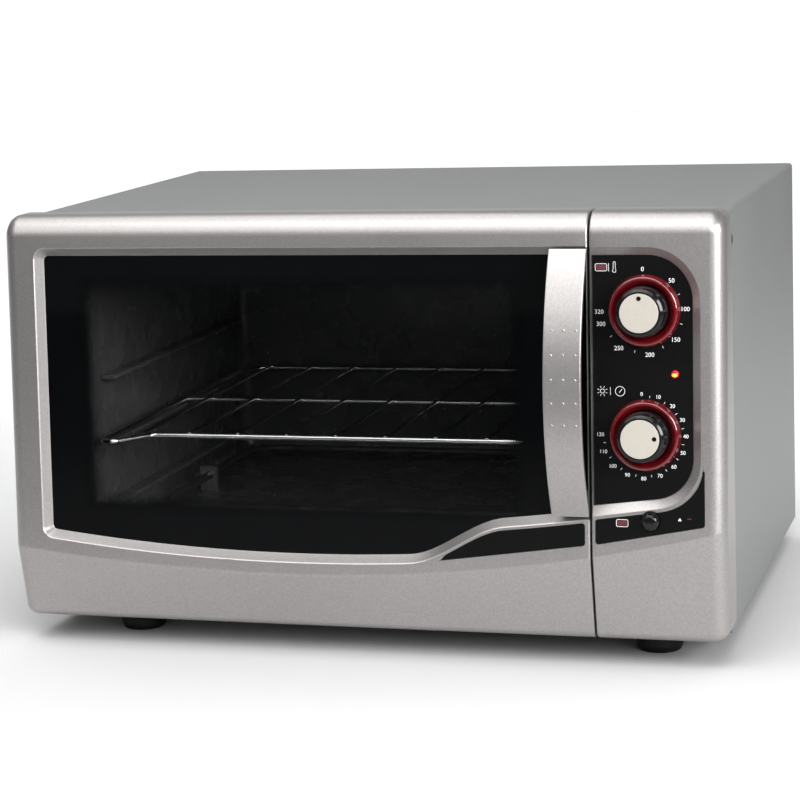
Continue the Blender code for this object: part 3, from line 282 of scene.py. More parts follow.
def makeDoorGlass():
    # tempered glass, black print round its border that thins out into dots
    view = {"left": -0.222, "right": 0.128, "low": 0.098, "high": 0.276, "soft": 0.030, "pitch": 0.0014}
    paint = Paint("doorGlass", 0.03, 0.0, Specular_IOR_Level=0.20)
    x, _, z = paint.axes()
    base = front["base"]
    sideways = (x - view["left"]).least(view["right"] - x)
    upright = (z - (view["low"] + base)).least((view["high"] + base) - z)
    inside = sideways.least(upright)
    clear = inside.fade(-view["soft"] / 2, view["soft"] / 2)
    wave = 2 * math.pi / view["pitch"]
    dots = ((x * wave).sine() * (z * wave).sine()) * 0.5 + 0.5
    solid = (1 - clear) * 1.16 - dots
    printed = solid.fade(-0.08, 0.08)
    smoke = paint.noise(18.0, 2.0)
    paint.colour(smoke, (0.0012, 0.0014, 0.0016), (0.0022, 0.0024, 0.0027))
    paint.set("Alpha", printed * 0.84 + 0.16)
    paint.set("Roughness", 0.02 + smoke * 0.03)
    return paint.material


def makeRuby():
    # deep red translucent plastic under a clear gloss
    paint = Paint("rubyPlastic", 0.10, 0.0, Coat_Weight=1.0, Coat_Roughness=0.03, Transmission_Weight=0.25)
    clouds = paint.noise(60.0, 2.0)
    paint.colour(clouds, (0.075, 0.002, 0.004), (0.20, 0.004, 0.008))
    paint.set("Roughness", 0.08 + clouds * 0.06)
    return paint.material


def makeGalvanised():
    # zinc spangle: flat crystals that catch the light each in its own way
    paint = Paint("galvanisedSheet", 0.42, 0.85)
    spangle = Signal(paint, paint.cells(110.0, "Color"))
    clouds = paint.noise(9.0, 3.0)
    share = spangle * 0.7 + clouds * 0.3
    paint.colour(share, (0.34, 0.35, 0.36), (0.56, 0.57, 0.58))
    paint.set("Roughness", 0.32 + spangle * 0.18)
    return paint.material


def makeBrushed(name, dark, light, roughness, stretch, metallic=1.0):
    # drawn or rolled metal, its scratches along one way
    paint = Paint(name, roughness, metallic)
    scratches = paint.noise(220.0, 4.0, stretch)
    clouds = paint.noise(20.0, 2.0)
    share = (scratches * 0.7 + clouds * 0.3).fade(0.30, 0.70)
    paint.colour(share, dark, light)
    paint.set("Roughness", roughness - 0.06 + scratches * 0.14)
    paint.bump(scratches, 0.00002)
    return paint.material


def makeGlassWool():
    paint = Paint("glassWool", 0.95)
    fibres = paint.noise(260.0, 6.0, (1, 0.25, 1)) * 0.6 + paint.noise(40.0, 4.0) * 0.4
    paint.colour(fibres.fade(0.3, 0.7), (0.50, 0.42, 0.20), (0.84, 0.78, 0.56))
    paint.bump(fibres, 0.0012)
    return paint.material


def makeClearGlass(name, tint, alpha):
    paint = Paint(name, 0.04, 0.0, Specular_IOR_Level=0.6)
    haze = paint.noise(120.0, 2.0)
    paint.colour(haze, shade(tint, 0.85), tint)
    paint.set("Alpha", alpha + haze * 0.08)
    paint.set("Roughness", 0.03 + haze * 0.05)
    return paint.material


def makeAmber():
    # the lens is lit from behind: a pale yellow heart in a red rim
    low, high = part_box("pilot_lamp")
    paint = Paint("amberLens", 0.12, 0.0, Emission_Strength=1.1, Coat_Weight=0.6)
    x, _, z = paint.axes()
    middle = (low + high) / 2
    across = (x - middle.x) / 0.0026
    upright = (z - middle.z) / 0.0017
    heart = 1 - (across * across + upright * upright).fade(0.1, 1.0)
    paint.colour(heart, (0.30, 0.01, 0.01), (0.95, 0.45, 0.08))
    paint.set("Emission Color", paint.blend(heart, (0.10, 0.004, 0.002), (1.0, 0.42, 0.10)))
    return paint.material


finishes = {
    "painted_sheet": makeCabinetPaint(),
    "pearl_silver": makePearlSilver("pearlSilver"),
    "black_enamel": makeEnamel(),
    "black_gloss": grained("glossBlack", (0.005, 0.005, 0.0055), 0.2, 300.0, 0.12, 0.03, 0.00001,
                           Specular_IOR_Level=0.32).material,
    "screw_black": grained("blackedSteel", (0.020, 0.020, 0.021), 0.3, 500.0, 0.38, 0.06, 0.00002,
                           0.4).material,
    "dark_glass": makeDoorGlass(),
    "ruby_plastic": makeRuby(),
    "champagne": grained("champagnePaint", (0.43, 0.40, 0.355), 0.06, 1200.0, 0.40, 0.04, 0.00002,
                         0.15).material,
    "black_rubber": grained("footRubber", (0.0045, 0.0045, 0.0045), 0.35, 800.0, 0.55, 0.08, 0.00006,
                            Specular_IOR_Level=0.25).material,
    "zinc_steel": makeBrushed("zincPlate", (0.40, 0.41, 0.42), (0.62, 0.63, 0.64), 0.34, (1, 1, 0.2)),
    "chrome_wire": makeBrushed("chromedWire", (0.74, 0.74, 0.75), (0.90, 0.90, 0.91), 0.18, (0.3, 1, 1)),
    "galvanised": makeGalvanised(),
    "sheath_steel": makeBrushed("elementSheath", (0.045, 0.042, 0.040), (0.12, 0.115, 0.11), 0.46,
                                (0.3, 1, 1), 0.8),
    "glass_wool": makeGlassWool(),
    "phenolic": grained("phenolicMoulding", (0.026, 0.023, 0.021), 0.3, 260.0, 0.46, 0.08, 0.00004).material,
    "ceramic": grained("steatite", (0.76, 0.73, 0.66), 0.08, 160.0, 0.42, 0.08, 0.00004).material,
    "clear_glass": makeClearGlass("lampGlass", (0.80, 0.84, 0.84), 0.25),
    "amber_lens": makeAmber(),
    "brass": makeBrushed("turnedBrass", (0.52, 0.36, 0.12), (0.76, 0.58, 0.26), 0.30, (1, 1, 0.2)),
}
satinBlack = grained("satinBlack", (0.0030, 0.0030, 0.0032), 0.18, 900.0, 0.34, 0.05, 0.00002,
                     Specular_IOR_Level=0.12).material
whiteInk = grained("whiteInk", (0.78, 0.78, 0.78), 0.08, 900.0, 0.55).material
redInk = grained("redInk", (0.085, 0.012, 0.018), 0.12, 900.0, 0.55).material
for node, slot in slotOf.items():
    nodes[node].data.materials.clear()
    nodes[node].data.materials.append(finishes[slot])
print("stage: finishes made,", len(finishes))


# ---- shape building
def roundCorner(before, corner, after, radius, steps):
    corner = Vector(corner)
    back = (Vector(before) - corner).normalized()
    ahead = (Vector(after) - corner).normalized()
    half = back.angle(ahead) / 2
    centre = corner + (back + ahead).normalized() * radius / math.sin(half)
    start = corner + back * radius / math.tan(half) - centre
    end = corner + ahead * radius / math.tan(half) - centre
    sweep = math.atan2(start.x * end.y - start.y * end.x, start.dot(end))
    return [centre + Matrix.Rotation(sweep * i / steps, 2) @ start for i in range(steps + 1)]


def softened(corners, steps=6):
    # a line or outline through (u, v, radius) corners; one without a radius stays sharp
    points = []
    for i, (u, v, *radius) in enumerate(corners):
        if radius and radius[0]:
            after = corners[(i + 1) % len(corners)][:2]
            points.extend(roundCorner(corners[i - 1][:2], (u, v), after, radius[0], steps))
        else:
            points.append(Vector((u, v)))
    return points


def roundedBox(left, low, right, high, radius, steps=5):
    corners = ((left, low), (left, high), (right, high), (right, low))
    return softened([(*corner, radius) for corner in corners], steps)


def drawnIn(points, distance):
    # a clockwise outline moved inwards all round
    moved = []
    for i, point in enumerate(points):
        back = (point - points[i - 1]).normalized()
        ahead = (points[(i + 1) % len(points)] - point).normalized()
        normal = Vector((back.y + ahead.y, -back.x - ahead.x)).normalized()
        spread = max(0.3, (1 + back.dot(ahead)) / 2) ** 0.5
        moved.append(point + normal * distance / spread)
    return moved


def moved(shape, place):
    bmesh.ops.transform(shape, matrix=place, verts=shape.verts)
    return shape


def lofted(sections, openStart=False):
    # bridges closed loops in order and fills the ends
    shape = bmesh.new()
    loops = []
    for section in sections:
        corners = [shape.verts.new(point) for point in section]
        loops.append([shape.edges.new(pair) for pair in zip(corners, corners[1:] + corners[:1])])
    for near, far in zip(loops, loops[1:]):
        bmesh.ops.bridge_loops(shape, edges=near + far)
    for end in loops[-1:] if openStart else (loops[0], loops[-1]):
        bmesh.ops.edgeloop_fill(shape, edges=end)
    bmesh.ops.recalc_face_normals(shape, faces=shape.faces)
    return shape


def turned(profile, place, steps=72):
    # spins (radius, height) points round their axis
    shape = bmesh.new()
    points = [shape.verts.new((radius, 0.0, height)) for radius, height in profile]
    line = [shape.edges.new(pair) for pair in zip(points, points[1:])]
    bmesh.ops.spin(shape, geom=points + line, cent=(0, 0, 0), axis=(0, 0, 1), dvec=(0, 0, 0),
                   angle=2 * math.pi, steps=steps, use_merge=True, use_duplicate=False)
    bmesh.ops.remove_doubles(shape, verts=shape.verts, dist=0.000002)
    bmesh.ops.recalc_face_normals(shape, faces=shape.faces)
    return moved(shape, place)


def rod(radius, high, low, place, steps):
    return turned([(0.0, high), (radius, high), (radius, low), (0.0, low)], place, steps)


def sheet(outline, ends):
    # an upright outline run from front to back
    return lofted([[Vector((p.x, y, p.y)) for p in outline] for y in ends])


def block(low, high, edge=0.0, segments=3):
    # a box between two corners, its edges rounded
    low = Vector(low)
    high = Vector(high)
    shape = bmesh.new()
    bmesh.ops.create_cube(shape, size=1.0)
    bmesh.ops.scale(shape, vec=high - low, verts=shape.verts)
    bmesh.ops.translate(shape, vec=(low + high) / 2, verts=shape.verts)
    if edge:
        bmesh.ops.bevel(shape, geom=list(shape.edges), offset=edge, segments=segments, profile=0.5,
                        affect="EDGES", material=-1)
    return shape


def wire(points, radius, closed=False, sides=4):
    # a round wire along a line of points
    curve = bpy.data.curves.new("wire", "CURVE")
    curve.dimensions = "3D"
    curve.bevel_depth = radius
    curve.bevel_resolution = sides
    curve.use_fill_caps = not closed
    spline = curve.splines.new("POLY")
    spline.points.add(len(points) - 1)
    for knot, point in zip(spline.points, points):
        knot.co = (*point, 1.0)
    spline.use_cyclic_u = closed
    return fromObject(bpy.data.objects.new("wire", curve))


def fromObject(helper):
    # the mesh of a curve or text, its seams closed; the helper goes
    bpy.context.scene.collection.objects.link(helper)
    evaluated = helper.evaluated_get(bpy.context.evaluated_depsgraph_get())
    mesh = bpy.data.meshes.new_from_object(evaluated)
    shape = bmesh.new()
    shape.from_mesh(mesh)
    bmesh.ops.remove_doubles(shape, verts=shape.verts, dist=0.000002)
    bmesh.ops.recalc_face_normals(shape, faces=shape.faces)
    bpy.data.meshes.remove(mesh)
    bpy.data.objects.remove(helper)
    return shape


def gather(shapes):
    # several shapes in one
    whole = bmesh.new()
    for shape in shapes:
        mesh = bpy.data.meshes.new("part")
        shape.to_mesh(mesh)
        shape.free()
        whole.from_mesh(mesh)
        bpy.data.meshes.remove(mesh)
    return whole


def asObject(name, shape):
    mesh = bpy.data.meshes.new(name)
    shape.to_mesh(mesh)
    shape.free()
    made = bpy.data.objects.new(name, mesh)
    bpy.context.scene.collection.objects.link(made)
    return made


def keepShape(made):
    # makes the result of the modifiers the object's own mesh
    evaluated = made.evaluated_get(bpy.context.evaluated_depsgraph_get())
    mesh = bpy.data.meshes.new_from_object(evaluated)
    made.modifiers.clear()
    made.data = mesh


def combine(made, operation, shapes):
    for shape in shapes:
        tool = asObject("tool", shape)
        step = made.modifiers.new("combine", "BOOLEAN")
        step.operation = operation
        step.solver = "EXACT"
        step.object = tool
        keepShape(made)
        bpy.data.objects.remove(tool)


def carve(made, *cutters):
    combine(made, "DIFFERENCE", cutters)


def finished(made, body, material, *stoodFor, sharp=32.0):
    # material, smooth faces with crisp edges, and the body that the piece moves with
    mesh = made.data
    mesh.materials.clear()
    mesh.materials.append(material)
    for face in mesh.polygons:
        face.material_index = 0
    mesh.shade_smooth()
    mesh.set_sharp_from_angle(angle=math.radians(sharp))
    weighted = made.modifiers.new("even shading", "WEIGHTED_NORMAL")
    weighted.keep_sharp = True
    keepShape(made)
    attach(made, body)
    if stoodFor:
        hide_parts(*stoodFor)
    return made


def piece(name, shape, body, *stoodFor, material=None, sharp=32.0):
    chosen = material or finishes[slotOf[stoodFor[0]]]
    return finished(asObject(name, shape), body, chosen, *stoodFor, sharp=sharp)


# ---- cabinet: one sheet folded over its two top edges
wrap = {"fold": 0.003, "sheet": 0.001, "edge": 0.0003}


def buildCabinet():
    side = cabinetHigh.x
    inner = side - wrap["sheet"]
    low = cabinetLow.z
    top = cabinetHigh.z
    corners = [
        (-side, low),
        (-side, top, wrap["fold"]),
        (side, top, wrap["fold"]),
        (side, low),
        (inner, low),
        (inner, top - wrap["sheet"], wrap["fold"] - wrap["sheet"]),
        (-inner, top - wrap["sheet"], wrap["fold"] - wrap["sheet"]),
        (-inner, low),
    ]
    shape = sheet(softened(corners, 8), (cabinetLow.y, cabinetHigh.y))
    piece("cabinetWrap", shape, "root", "cabinet_wrap")


def buildRearCover():
    # rows of rounded cooling slots, and the hole for the cord inlet
    low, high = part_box("rear_cover")
    slots = {"rows": 4, "columns": 6, "x": -0.20, "pitchX": 0.056, "long": 0.040, "height": 0.215,
             "pitchZ": 0.022, "tall": 0.005}
    cover = asObject("rearCover", block(low, high, 0.0003, 1))
    cutters = []
    for row in range(slots["rows"]):
        for column in range(slots["columns"]):
            left = slots["x"] + slots["pitchX"] * column
            bottom = front["base"] + slots["height"] + slots["pitchZ"] * row
            right = left + slots["long"]
            outline = roundedBox(left, bottom, right, bottom + slots["tall"], slots["tall"] * 0.499)
            cutters.append(sheet(outline, (low.y - 0.01, high.y + 0.01)))
    carve(cover, gather(cutters))
    inletLow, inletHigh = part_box("cord_inlet")
    middle = (inletLow + inletHigh) / 2
    place = Matrix.Translation((middle.x, high.y, middle.z)) @ turnBy(-90, "X")
    carve(cover, rod(0.0083, 0.02, -0.02, place, 48))
    finished(cover, "root", finishes["galvanised"], "rear_cover")


# ---- leaning mouldings
def creaseHeight(x):
    bend = 0.28 if x < -0.05 else 0.38
    return 0.048 + bend * (x + 0.05) ** 2


def frontSection(x, inset, backY, sides):
    top = sides["top"] - inset
    bottom = sides["bottom"] + inset
    crease = creaseHeight(x)
    corners = [
        (backY, top),
        (planeY(top) + inset, top, max(front["topRound"] - inset, 0.002)),
        (planeY(crease) + inset, crease, front["creaseRound"]),
        (front["y"] - front["bottomProud"] + inset, bottom, max(front["bottomRound"] - inset, 0.002)),
        (backY, bottom),
    ]
    return [Vector((x, p.x, front["base"] + p.y)) for p in softened(corners, 9)]


def roundedEnd(x, inward, radius, steps):
    ends = []
    for i in range(steps + 1):
        angle = math.pi / 2 * i / steps
        ends.append((x + inward * radius * (1 - math.sin(angle)), radius * (1 - math.cos(angle))))
    return ends


def moulding(low, high, leftRound, rightRound):
    sides = {"top": high.z - front["base"], "bottom": low.z - front["base"]}
    stations = list(reversed(roundedEnd(low.x, 1, leftRound, 4 if leftRound < 0.005 else 12)))
    start = low.x + leftRound
    end = high.x - rightRound
    middle = max(4, round((end - start) / 0.011))
    stations += [(start + (end - start) * i / middle, 0.0) for i in range(1, middle)]
    stations += roundedEnd(high.x, -1, rightRound, 4 if rightRound < 0.005 else 12)
    return lofted([frontSection(x, inset, high.y - inset / 4, sides) for x, inset in stations])


def hollow(left, right, crease):
    low = 0.0105
    high = 0.3195
    behind = front["y"] + 0.020
    outline = [
        (behind, low),
        (front["y"] - front["bottomProud"] + 0.006, low),
        (planeY(crease) + front["wall"], crease),
        (planeY(high) + front["wall"], high),
        (behind, high),
    ]
    return lofted([[Vector((x, y, front["base"] + h)) for y, h in outline] for x in (left, right)])


def bevelledHole(outline, inset, depth, through, straightX, lip=0.0007, topDrop=0.0):
    # slanting sides with a small rounded lip, then straight on; the upper side may slant more
    middle = sum(p.y for p in outline) / len(outline)
    steps = [(-0.006, -lip * 2.2), (-0.0006, -lip * 1.5), (0.0, -lip), (lip * 0.5, -lip * 0.30),
             (lip * 1.2, lip * 0.35), (depth - 0.0006, inset - 0.0004), (depth, inset + 0.0001),
             (through, inset + 0.0001)]
    sections = []
    for position, shrink in steps:
        moved = drawnIn(outline, shrink)
        for before, after in zip(outline, moved):
            if abs(before.x - straightX) < 0.0001:
                after.x = straightX
            if before.y > middle:
                after.y -= topDrop * max(shrink, 0.0) / inset
        sections.append([onFront(p.x, p.y, position) for p in moved])
    return lofted(sections)


def plate(outline, near, far):
    return lofted([[onFront(p.x, p.y, depth) for p in outline] for depth in (near, far)])


def softPlate(outline, near, far, edge):
    # a thin plate on the front whose face edge is rounded
    steps = [(far, 0.0), (near + edge, 0.0), (near + edge * 0.35, edge * 0.35), (near, edge)]
    return lofted([[onFront(p.x, p.y, depth) for p in drawnIn(outline, shrink)] for depth, shrink in steps])


def ease(value):
    value = min(max(value, 0.0), 1.0)
    return value * value * (3 - 2 * value)


window = {"left": -0.262, "right": 0.1858, "top": 0.3034, "corner": 0.009, "inset": 0.005, "topDrop": 0.0014}


def windowSill(x):
    rise = 0.0247 * ease((x - 0.044) / 0.076)
    return 0.0583 + 0.303 * (x + 0.045) ** 2 + rise


def windowOutline():
    corners = [
        (window["left"], windowSill(window["left"]), window["corner"]),
        (window["left"], window["top"], window["corner"]),
        (window["right"], window["top"]),
    ]
    count = 64
    for i in range(count):
        x = window["right"] + (window["left"] + 0.016 - window["right"]) * i / (count - 1)
        corners.append((x, windowSill(x)))
    return softened(corners, 9)


badge = {"left": 0.0690, "right": 0.1830, "drop": 0.0026, "tip": 0.0634, "low": 0.0785, "round": 0.0025}


def badgeOutline(inset):
    # the strip follows the window's sill above and runs to a slender tip at its left
    upper = []
    count = 24
    for i in range(count):
        x = badge["left"] + 0.004 + (badge["right"] - badge["left"] - 0.004) * i / (count - 1)
        rounded = badge["round"] if i == count - 1 else 0.0
        upper.append((x, windowSill(x) - badge["drop"], rounded))
    corners = [(badge["left"], badge["tip"]), *upper, (badge["right"], badge["low"], badge["round"])]
    return drawnIn(softened(corners, 5), inset)


def hingeSlots():
    cutters = []
    for arm in ("lower_hinge_arm", "upper_hinge_arm"):
        low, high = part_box(arm)
        height = {"lower_hinge_arm": low.z + 0.0024, "upper_hinge_arm": high.z - 0.0024}[arm]
        play = 0.0027
        cutters.append(block((doorLow.x - 0.01, low.y - 0.0038, height - play),
                             (doorLow.x + 0.008, doorHigh.y + 0.01, height + play)))
    return cutters


def buildDoor():
    shell = asObject("doorShell", moulding(doorLow, doorHigh, front["endRound"], front["innerRound"]))
    carve(shell, hollow(doorLow.x + 0.0020, doorHigh.x - 0.0012, 0.0555))
    carve(shell, bevelledHole(windowOutline(), window["inset"], front["wall"], 0.020, window["right"],
                              topDrop=window["topDrop"]))
    carve(shell, plate(badgeOutline(0.0), -0.005, 0.0014))
    carve(shell, *hingeSlots())
    finished(shell, "door", makePearlSilver("doorSilver", window["right"] - 0.0004), "door_frame")
    strip = softPlate(badgeOutline(0.0003), 0.0001, 0.0011, 0.0004)
    piece("doorStrip", strip, "door", "door_badge", material=satinBlack)


recess = {"left": fasciaLow.x + 0.00105, "right": 0.2706, "top": 0.3025, "lowLeft": 0.1017,
          "lowRight": 0.1130, "topRound": 0.040, "lowRound": 0.037, "inset": 0.0058, "depth": 0.005}
controls = {"x": 0.2287, "temperature": 0.2555, "timer": 0.1625, "timerRest": math.radians(88.0),
            "buttonX": 0.2331, "button": 0.0987, "pilotX": 0.2512, "pilot": 0.2085}


def recessOutline():
    corners = [
        (recess["left"], recess["lowLeft"]),
        (recess["left"], recess["top"]),
        (recess["right"], recess["top"], recess["topRound"]),
        (recess["right"], recess["lowRight"], recess["lowRound"]),
    ]
    return softened(corners, 20)


def lowerStripOutline():
    corners = [
        (0.1908, 0.0794, 0.0025),
        (0.1908, 0.0989, 0.0020),
        (0.2728, 0.1103, 0.037),
        (0.2728, 0.1375),
        (0.2739, 0.1365),
        (0.2739, 0.0950, 0.0022),
    ]
    return softened(corners, 12)


def roundHole(x, height, radius, deep=0.080):
    return rod(radius, 0.010, -deep, facing(x, height), 48)


def buildFascia():
    shell = asObject("fasciaShell", moulding(fasciaLow, fasciaHigh, front["innerRound"], front["endRound"]))
    carve(shell, hollow(fasciaLow.x + 0.0012, fasciaHigh.x - 0.0045, creaseHeight(fasciaHigh.x) + 0.002))
    seat = recess["depth"] + 0.0018
    opening = bevelledHole(recessOutline(), recess["inset"], recess["depth"], seat, recess["left"], 0.0005)
    carve(shell, opening)
    carve(shell, plate(lowerStripOutline(), -0.005, 0.0016))
    for height in (controls["temperature"], controls["timer"]):
        carve(shell, roundHole(controls["x"], height, 0.0075))
    carve(shell, roundHole(controls["buttonX"], controls["button"], 0.0078, 0.022))
    carve(shell, roundHole(controls["pilotX"], controls["pilot"], 0.0039, 0.022))
    finished(shell, "root", finishes["pearl_silver"], "fascia_panel")

    outline = drawnIn(recessOutline(), recess["inset"] + 0.0002)
    for before, after in zip(recessOutline(), outline):
        if abs(before.x - recess["left"]) < 0.0001:
            after.x = before.x + 0.0003
    field = asObject("controlField", plate(outline, recess["depth"], seat - 0.0003))
    for height in (controls["temperature"], controls["timer"]):
        carve(field, roundHole(controls["x"], height, 0.0070))
    carve(field, roundHole(controls["pilotX"], controls["pilot"], 0.0036, 0.022))
    finished(field, "root", satinBlack, "upper_insert")

    strip = asObject("buttonStrip", softPlate(drawnIn(lowerStripOutline(), 0.0003), 0.0001, 0.0013, 0.0004))
    carve(strip, roundHole(controls["buttonX"], controls["button"], 0.0076, 0.022))
    finished(strip, "root", satinBlack, "lower_insert")


# ---- strap handle: a flat bar bent to an arc, with rows of grip dots
strap = {"arc": 0.0257, "lift": 0.0018, "thick": 0.0042, "edge": 0.0008, "low": 0.1010, "high": 0.3020,
         "footIn": 0.0080, "footTall": 0.0110,
         "dotRows": (0.1743, 0.1910, 0.2085, 0.2265, 0.2445), "dotXs": (0.1640, 0.1732, 0.1824),
         "dot": 0.0012}


def strapBow(height):
    middle = (strap["high"] + strap["low"]) / 2
    half = (strap["high"] - strap["low"]) / 2
    radius = (half ** 2 + strap["arc"] ** 2) / (2 * strap["arc"])
    return strap["lift"] + math.sqrt(radius ** 2 - (height - middle) ** 2) - (radius - strap["arc"])


def strapShape():
    # rounded sections along the bar, thinned at both ends where it meets the door
    count = 56
    sections = []
    for i in range(count + 1):
        height = strap["low"] + (strap["high"] - strap["low"]) * i / count
        outer = strapBow(height)
        inner = max(outer - strap["thick"], 0.0003)
        rounding = min(strap["edge"], (outer - inner) * 0.45)
        section = roundedBox(strapLow.x, inner, strapHigh.x, outer, rounding, 4)
        sections.append([onFront(p.x, height, -p.y) for p in section])
    return lofted(sections)


def buildHandle():
    strapBar = asObject("handleStrap", strapShape())
    feet = []
    for low in (strap["low"] + strap["footIn"], strap["high"] - strap["footIn"] - strap["footTall"]):
        high = low + strap["footTall"]
        outline = roundedBox(strapLow.x + 0.003, low, window["right"] - 0.002, high, 0.002, 4)
        feet.append(plate(outline, -0.005, front["wall"]))
    combine(strapBar, "UNION", feet)
    finished(strapBar, "door", finishes["pearl_silver"], "handle_strap")
    dots = []
    for height in strap["dotRows"]:
        for x in strap["dotXs"]:
            dot = bmesh.new()
            bmesh.ops.create_uvsphere(dot, u_segments=20, v_segments=10, radius=strap["dot"])
            bmesh.ops.scale(dot, vec=(1, 0.55, 1), verts=dot.verts)
            place = onFront(x, height, -strapBow(height) + 0.0003)
            bmesh.ops.translate(dot, vec=place, verts=dot.verts)
            dots.append(dot)
    grip = piece("gripDots", gather(dots), "door", material=finishes["pearl_silver"], sharp=80.0)


# ---- knobs, rings, button and pilot lamp
knob = {"radius": 0.0194, "proud": 0.0170, "cap": 0.0145, "capThick": 0.0012, "shaft": 0.0033,
        "dotReach": 0.0108, "dot": 0.0018, "ring": 0.0272}


def knobProfile():
    top = knob["proud"]
    base = -recess["depth"] + 0.0008
    return softened([
        (0.0, top),
        (knob["cap"] + 0.0012, top, 0.0006),
        (0.0178, top - 0.0012, 0.0012),
        (knob["radius"], top - 0.0085, 0.004),
        (knob["radius"], base, 0.0006),
        (knob["shaft"], base),
        (knob["shaft"], 0.0095),
        (0.0, 0.0095),
    ], 6)


def ringProfile():
    base = -recess["depth"] + 0.0003
    return softened([
        (0.0202, base),
        (0.0202, -0.0012, 0.0005),
        (0.0232, 0.0017, 0.0016),
        (0.0255, 0.0017, 0.0018),
        (knob["ring"], -0.0030, 0.0012),
        (knob["ring"], base),
        (0.0202, base),
    ], 7)


def buildKnob(label, height, restAngle):
    body = label + "_control"
    place = facing(controls["x"], height)
    piece(label + "Knob", turned(knobProfile(), place, 96), body, label + "_knob", sharp=40.0)
    low = knob["proud"] + 0.0003
    high = low + knob["capThick"]
    disc = [(0.0, high), (knob["cap"], high, 0.0003), (knob["cap"], low), (0.0, low)]
    cap = asObject(label + "Cap", turned(softened(disc, 4), place, 96))
    across = math.sin(restAngle) * knob["dotReach"]
    upright = math.cos(restAngle) * knob["dotReach"]
    spot = place @ Matrix.Translation((across, upright, 0))
    carve(cap, rod(knob["dot"], high + 0.002, low + 0.0006, spot, 32))
    finished(cap, body, finishes["champagne"], label + "_knob_cap")
    mark = rod(knob["dot"] - 0.0001, high - 0.0002, low + 0.00065, spot, 24)
    piece(label + "Mark", mark, body, material=finishes["black_gloss"])
    piece(label + "Ring", turned(ringProfile(), place, 120), "root", label + "_ring", sharp=50.0)


def buildControls():
    buildKnob("temperature", controls["temperature"], 0.0)
    buildKnob("timer", controls["timer"], controls["timerRest"])
    button = [(0.0, 0.0056), (0.0046, 0.0050, 0.004), (0.0071, 0.0022, 0.002), (0.0071, -0.0070),
              (0.0030, -0.0070), (0.0030, -0.0220), (0.0, -0.0220)]
    shape = turned(softened(button, 7), facing(controls["buttonX"], controls["button"]), 64)
    piece("grillButton", shape, "push_button", "grill_button", sharp=50.0)
    face = -recess["depth"]
    lens = [(0.0, face + 0.0014), (0.0024, face + 0.0011, 0.001), (0.0032, face + 0.0002),
            (0.0032, face - 0.0120), (0.0, face - 0.0120)]
    shape = turned(softened(lens, 5), facing(controls["pilotX"], controls["pilot"]), 48)
    piece("pilotLens", shape, "root", "pilot_lamp", sharp=50.0)


# ---- printed scales and symbols, each a film on the black fields
ink = {"thick": 0.00006, "size": 0.0047, "reach": 0.0318, "tickReach": 0.0292, "tick": 0.0018,
       "tickWide": 0.0003, "stroke": 0.00034, "left": 0.0013, "down": 0.0012}


def printed(text, size, place):
    curve = bpy.data.curves.new("number", "FONT")
    curve.body = text
    curve.size = size
    curve.align_x = "CENTER"
    curve.align_y = "CENTER"
    curve.extrude = ink["thick"] / 2
    curve.resolution_u = 3
    shape = fromObject(bpy.data.objects.new("number", curve))
    return moved(shape, place)


def bar(x0, y0, x1, y1, wide, place):
    # a straight stroke between two points of the field
    start = Vector((x0, y0, 0))
    end = Vector((x1, y1, 0))
    shape = block((0, -wide / 2, -ink["thick"] / 2), ((end - start).length, wide / 2, ink["thick"] / 2))
    turnZ = Matrix.Rotation(math.atan2(y1 - y0, x1 - x0), 4, "Z")
    return moved(shape, place @ Matrix.Translation(start) @ turnZ)


def ray(x, y, across, upright, near, far, wide, place):
    # a stroke that points away from (x, y)
    return bar(x + near * across, y + near * upright, x + far * across, y + far * upright, wide, place)


def loop(points, wide, place):
    # a closed stroke round an outline
    near = -ink["thick"] / 2
    far = ink["thick"] / 2
    shape = bmesh.new()
    rings = []
    for shrink, level in ((-wide / 2, near), (-wide / 2, far), (wide / 2, far), (wide / 2, near)):
        rings.append([shape.verts.new((p.x, p.y, level)) for p in drawnIn(points, shrink)])
    for first, second in zip(rings, rings[1:] + rings[:1]):
        for i in range(len(points)):
            shape.faces.new((first[i - 1], first[i], second[i], second[i - 1]))
    bmesh.ops.recalc_face_normals(shape, faces=shape.faces)
    return moved(shape, place)


def circle(x, y, radius, steps=24):
    # clockwise, as every outline here
    angles = [-2 * math.pi * i / steps for i in range(steps)]
    return [Vector((x + radius * math.cos(angle), y + radius * math.sin(angle))) for angle in angles]


def centredBox(x, y, wide, tall, radius):
    return roundedBox(x - wide / 2, y - tall / 2, x + wide / 2, y + tall / 2, radius)


def scaleShape(height, marks, size):
    # numbers and ticks round a knob; a mark without text is a tick
    place = facing(controls["x"] - ink["left"], height - ink["down"], recess["depth"] - ink["thick"])
    shapes = []
    for degrees, text in marks:
        across = math.sin(math.radians(degrees))
        upright = math.cos(math.radians(degrees))
        if text:
            reach = ink["reach"] + 0.0006 * max(len(text) - 2, 0) * (1 - across)
            spot = place @ Matrix.Translation((across * reach, upright * reach, 0))
            shapes.append(printed(text, size, spot))
        else:
            near = ink["tickReach"]
            far = near + ink["tick"]
            shapes.append(ray(0.0, 0.0, across, upright, near, far, ink["tickWide"], place))
    return gather(shapes)


# the two short columns of symbols: their places and the sizes of what they show
symbol = {"oven": (0.1962, 0.2875), "grill": (0.2115, 0.0968), "lampX": 0.1964, "clockX": 0.2098,
          "lowRow": 0.1951, "mark": (0.2551, 0.1000), "dash": (0.2622, 0.1012), "lampRound": 0.0016,
          "rayFrom": 0.0026, "rayTo": 0.0040, "rays": 8, "clockRound": 0.0036, "divider": 0.0030}


def upTheSlope(height):
    return height / math.cos(front["lean"])


def divider(x, middle, place):
    reach = symbol["divider"]
    return bar(x, middle - reach, x, middle + reach, ink["stroke"] * 0.8, place)


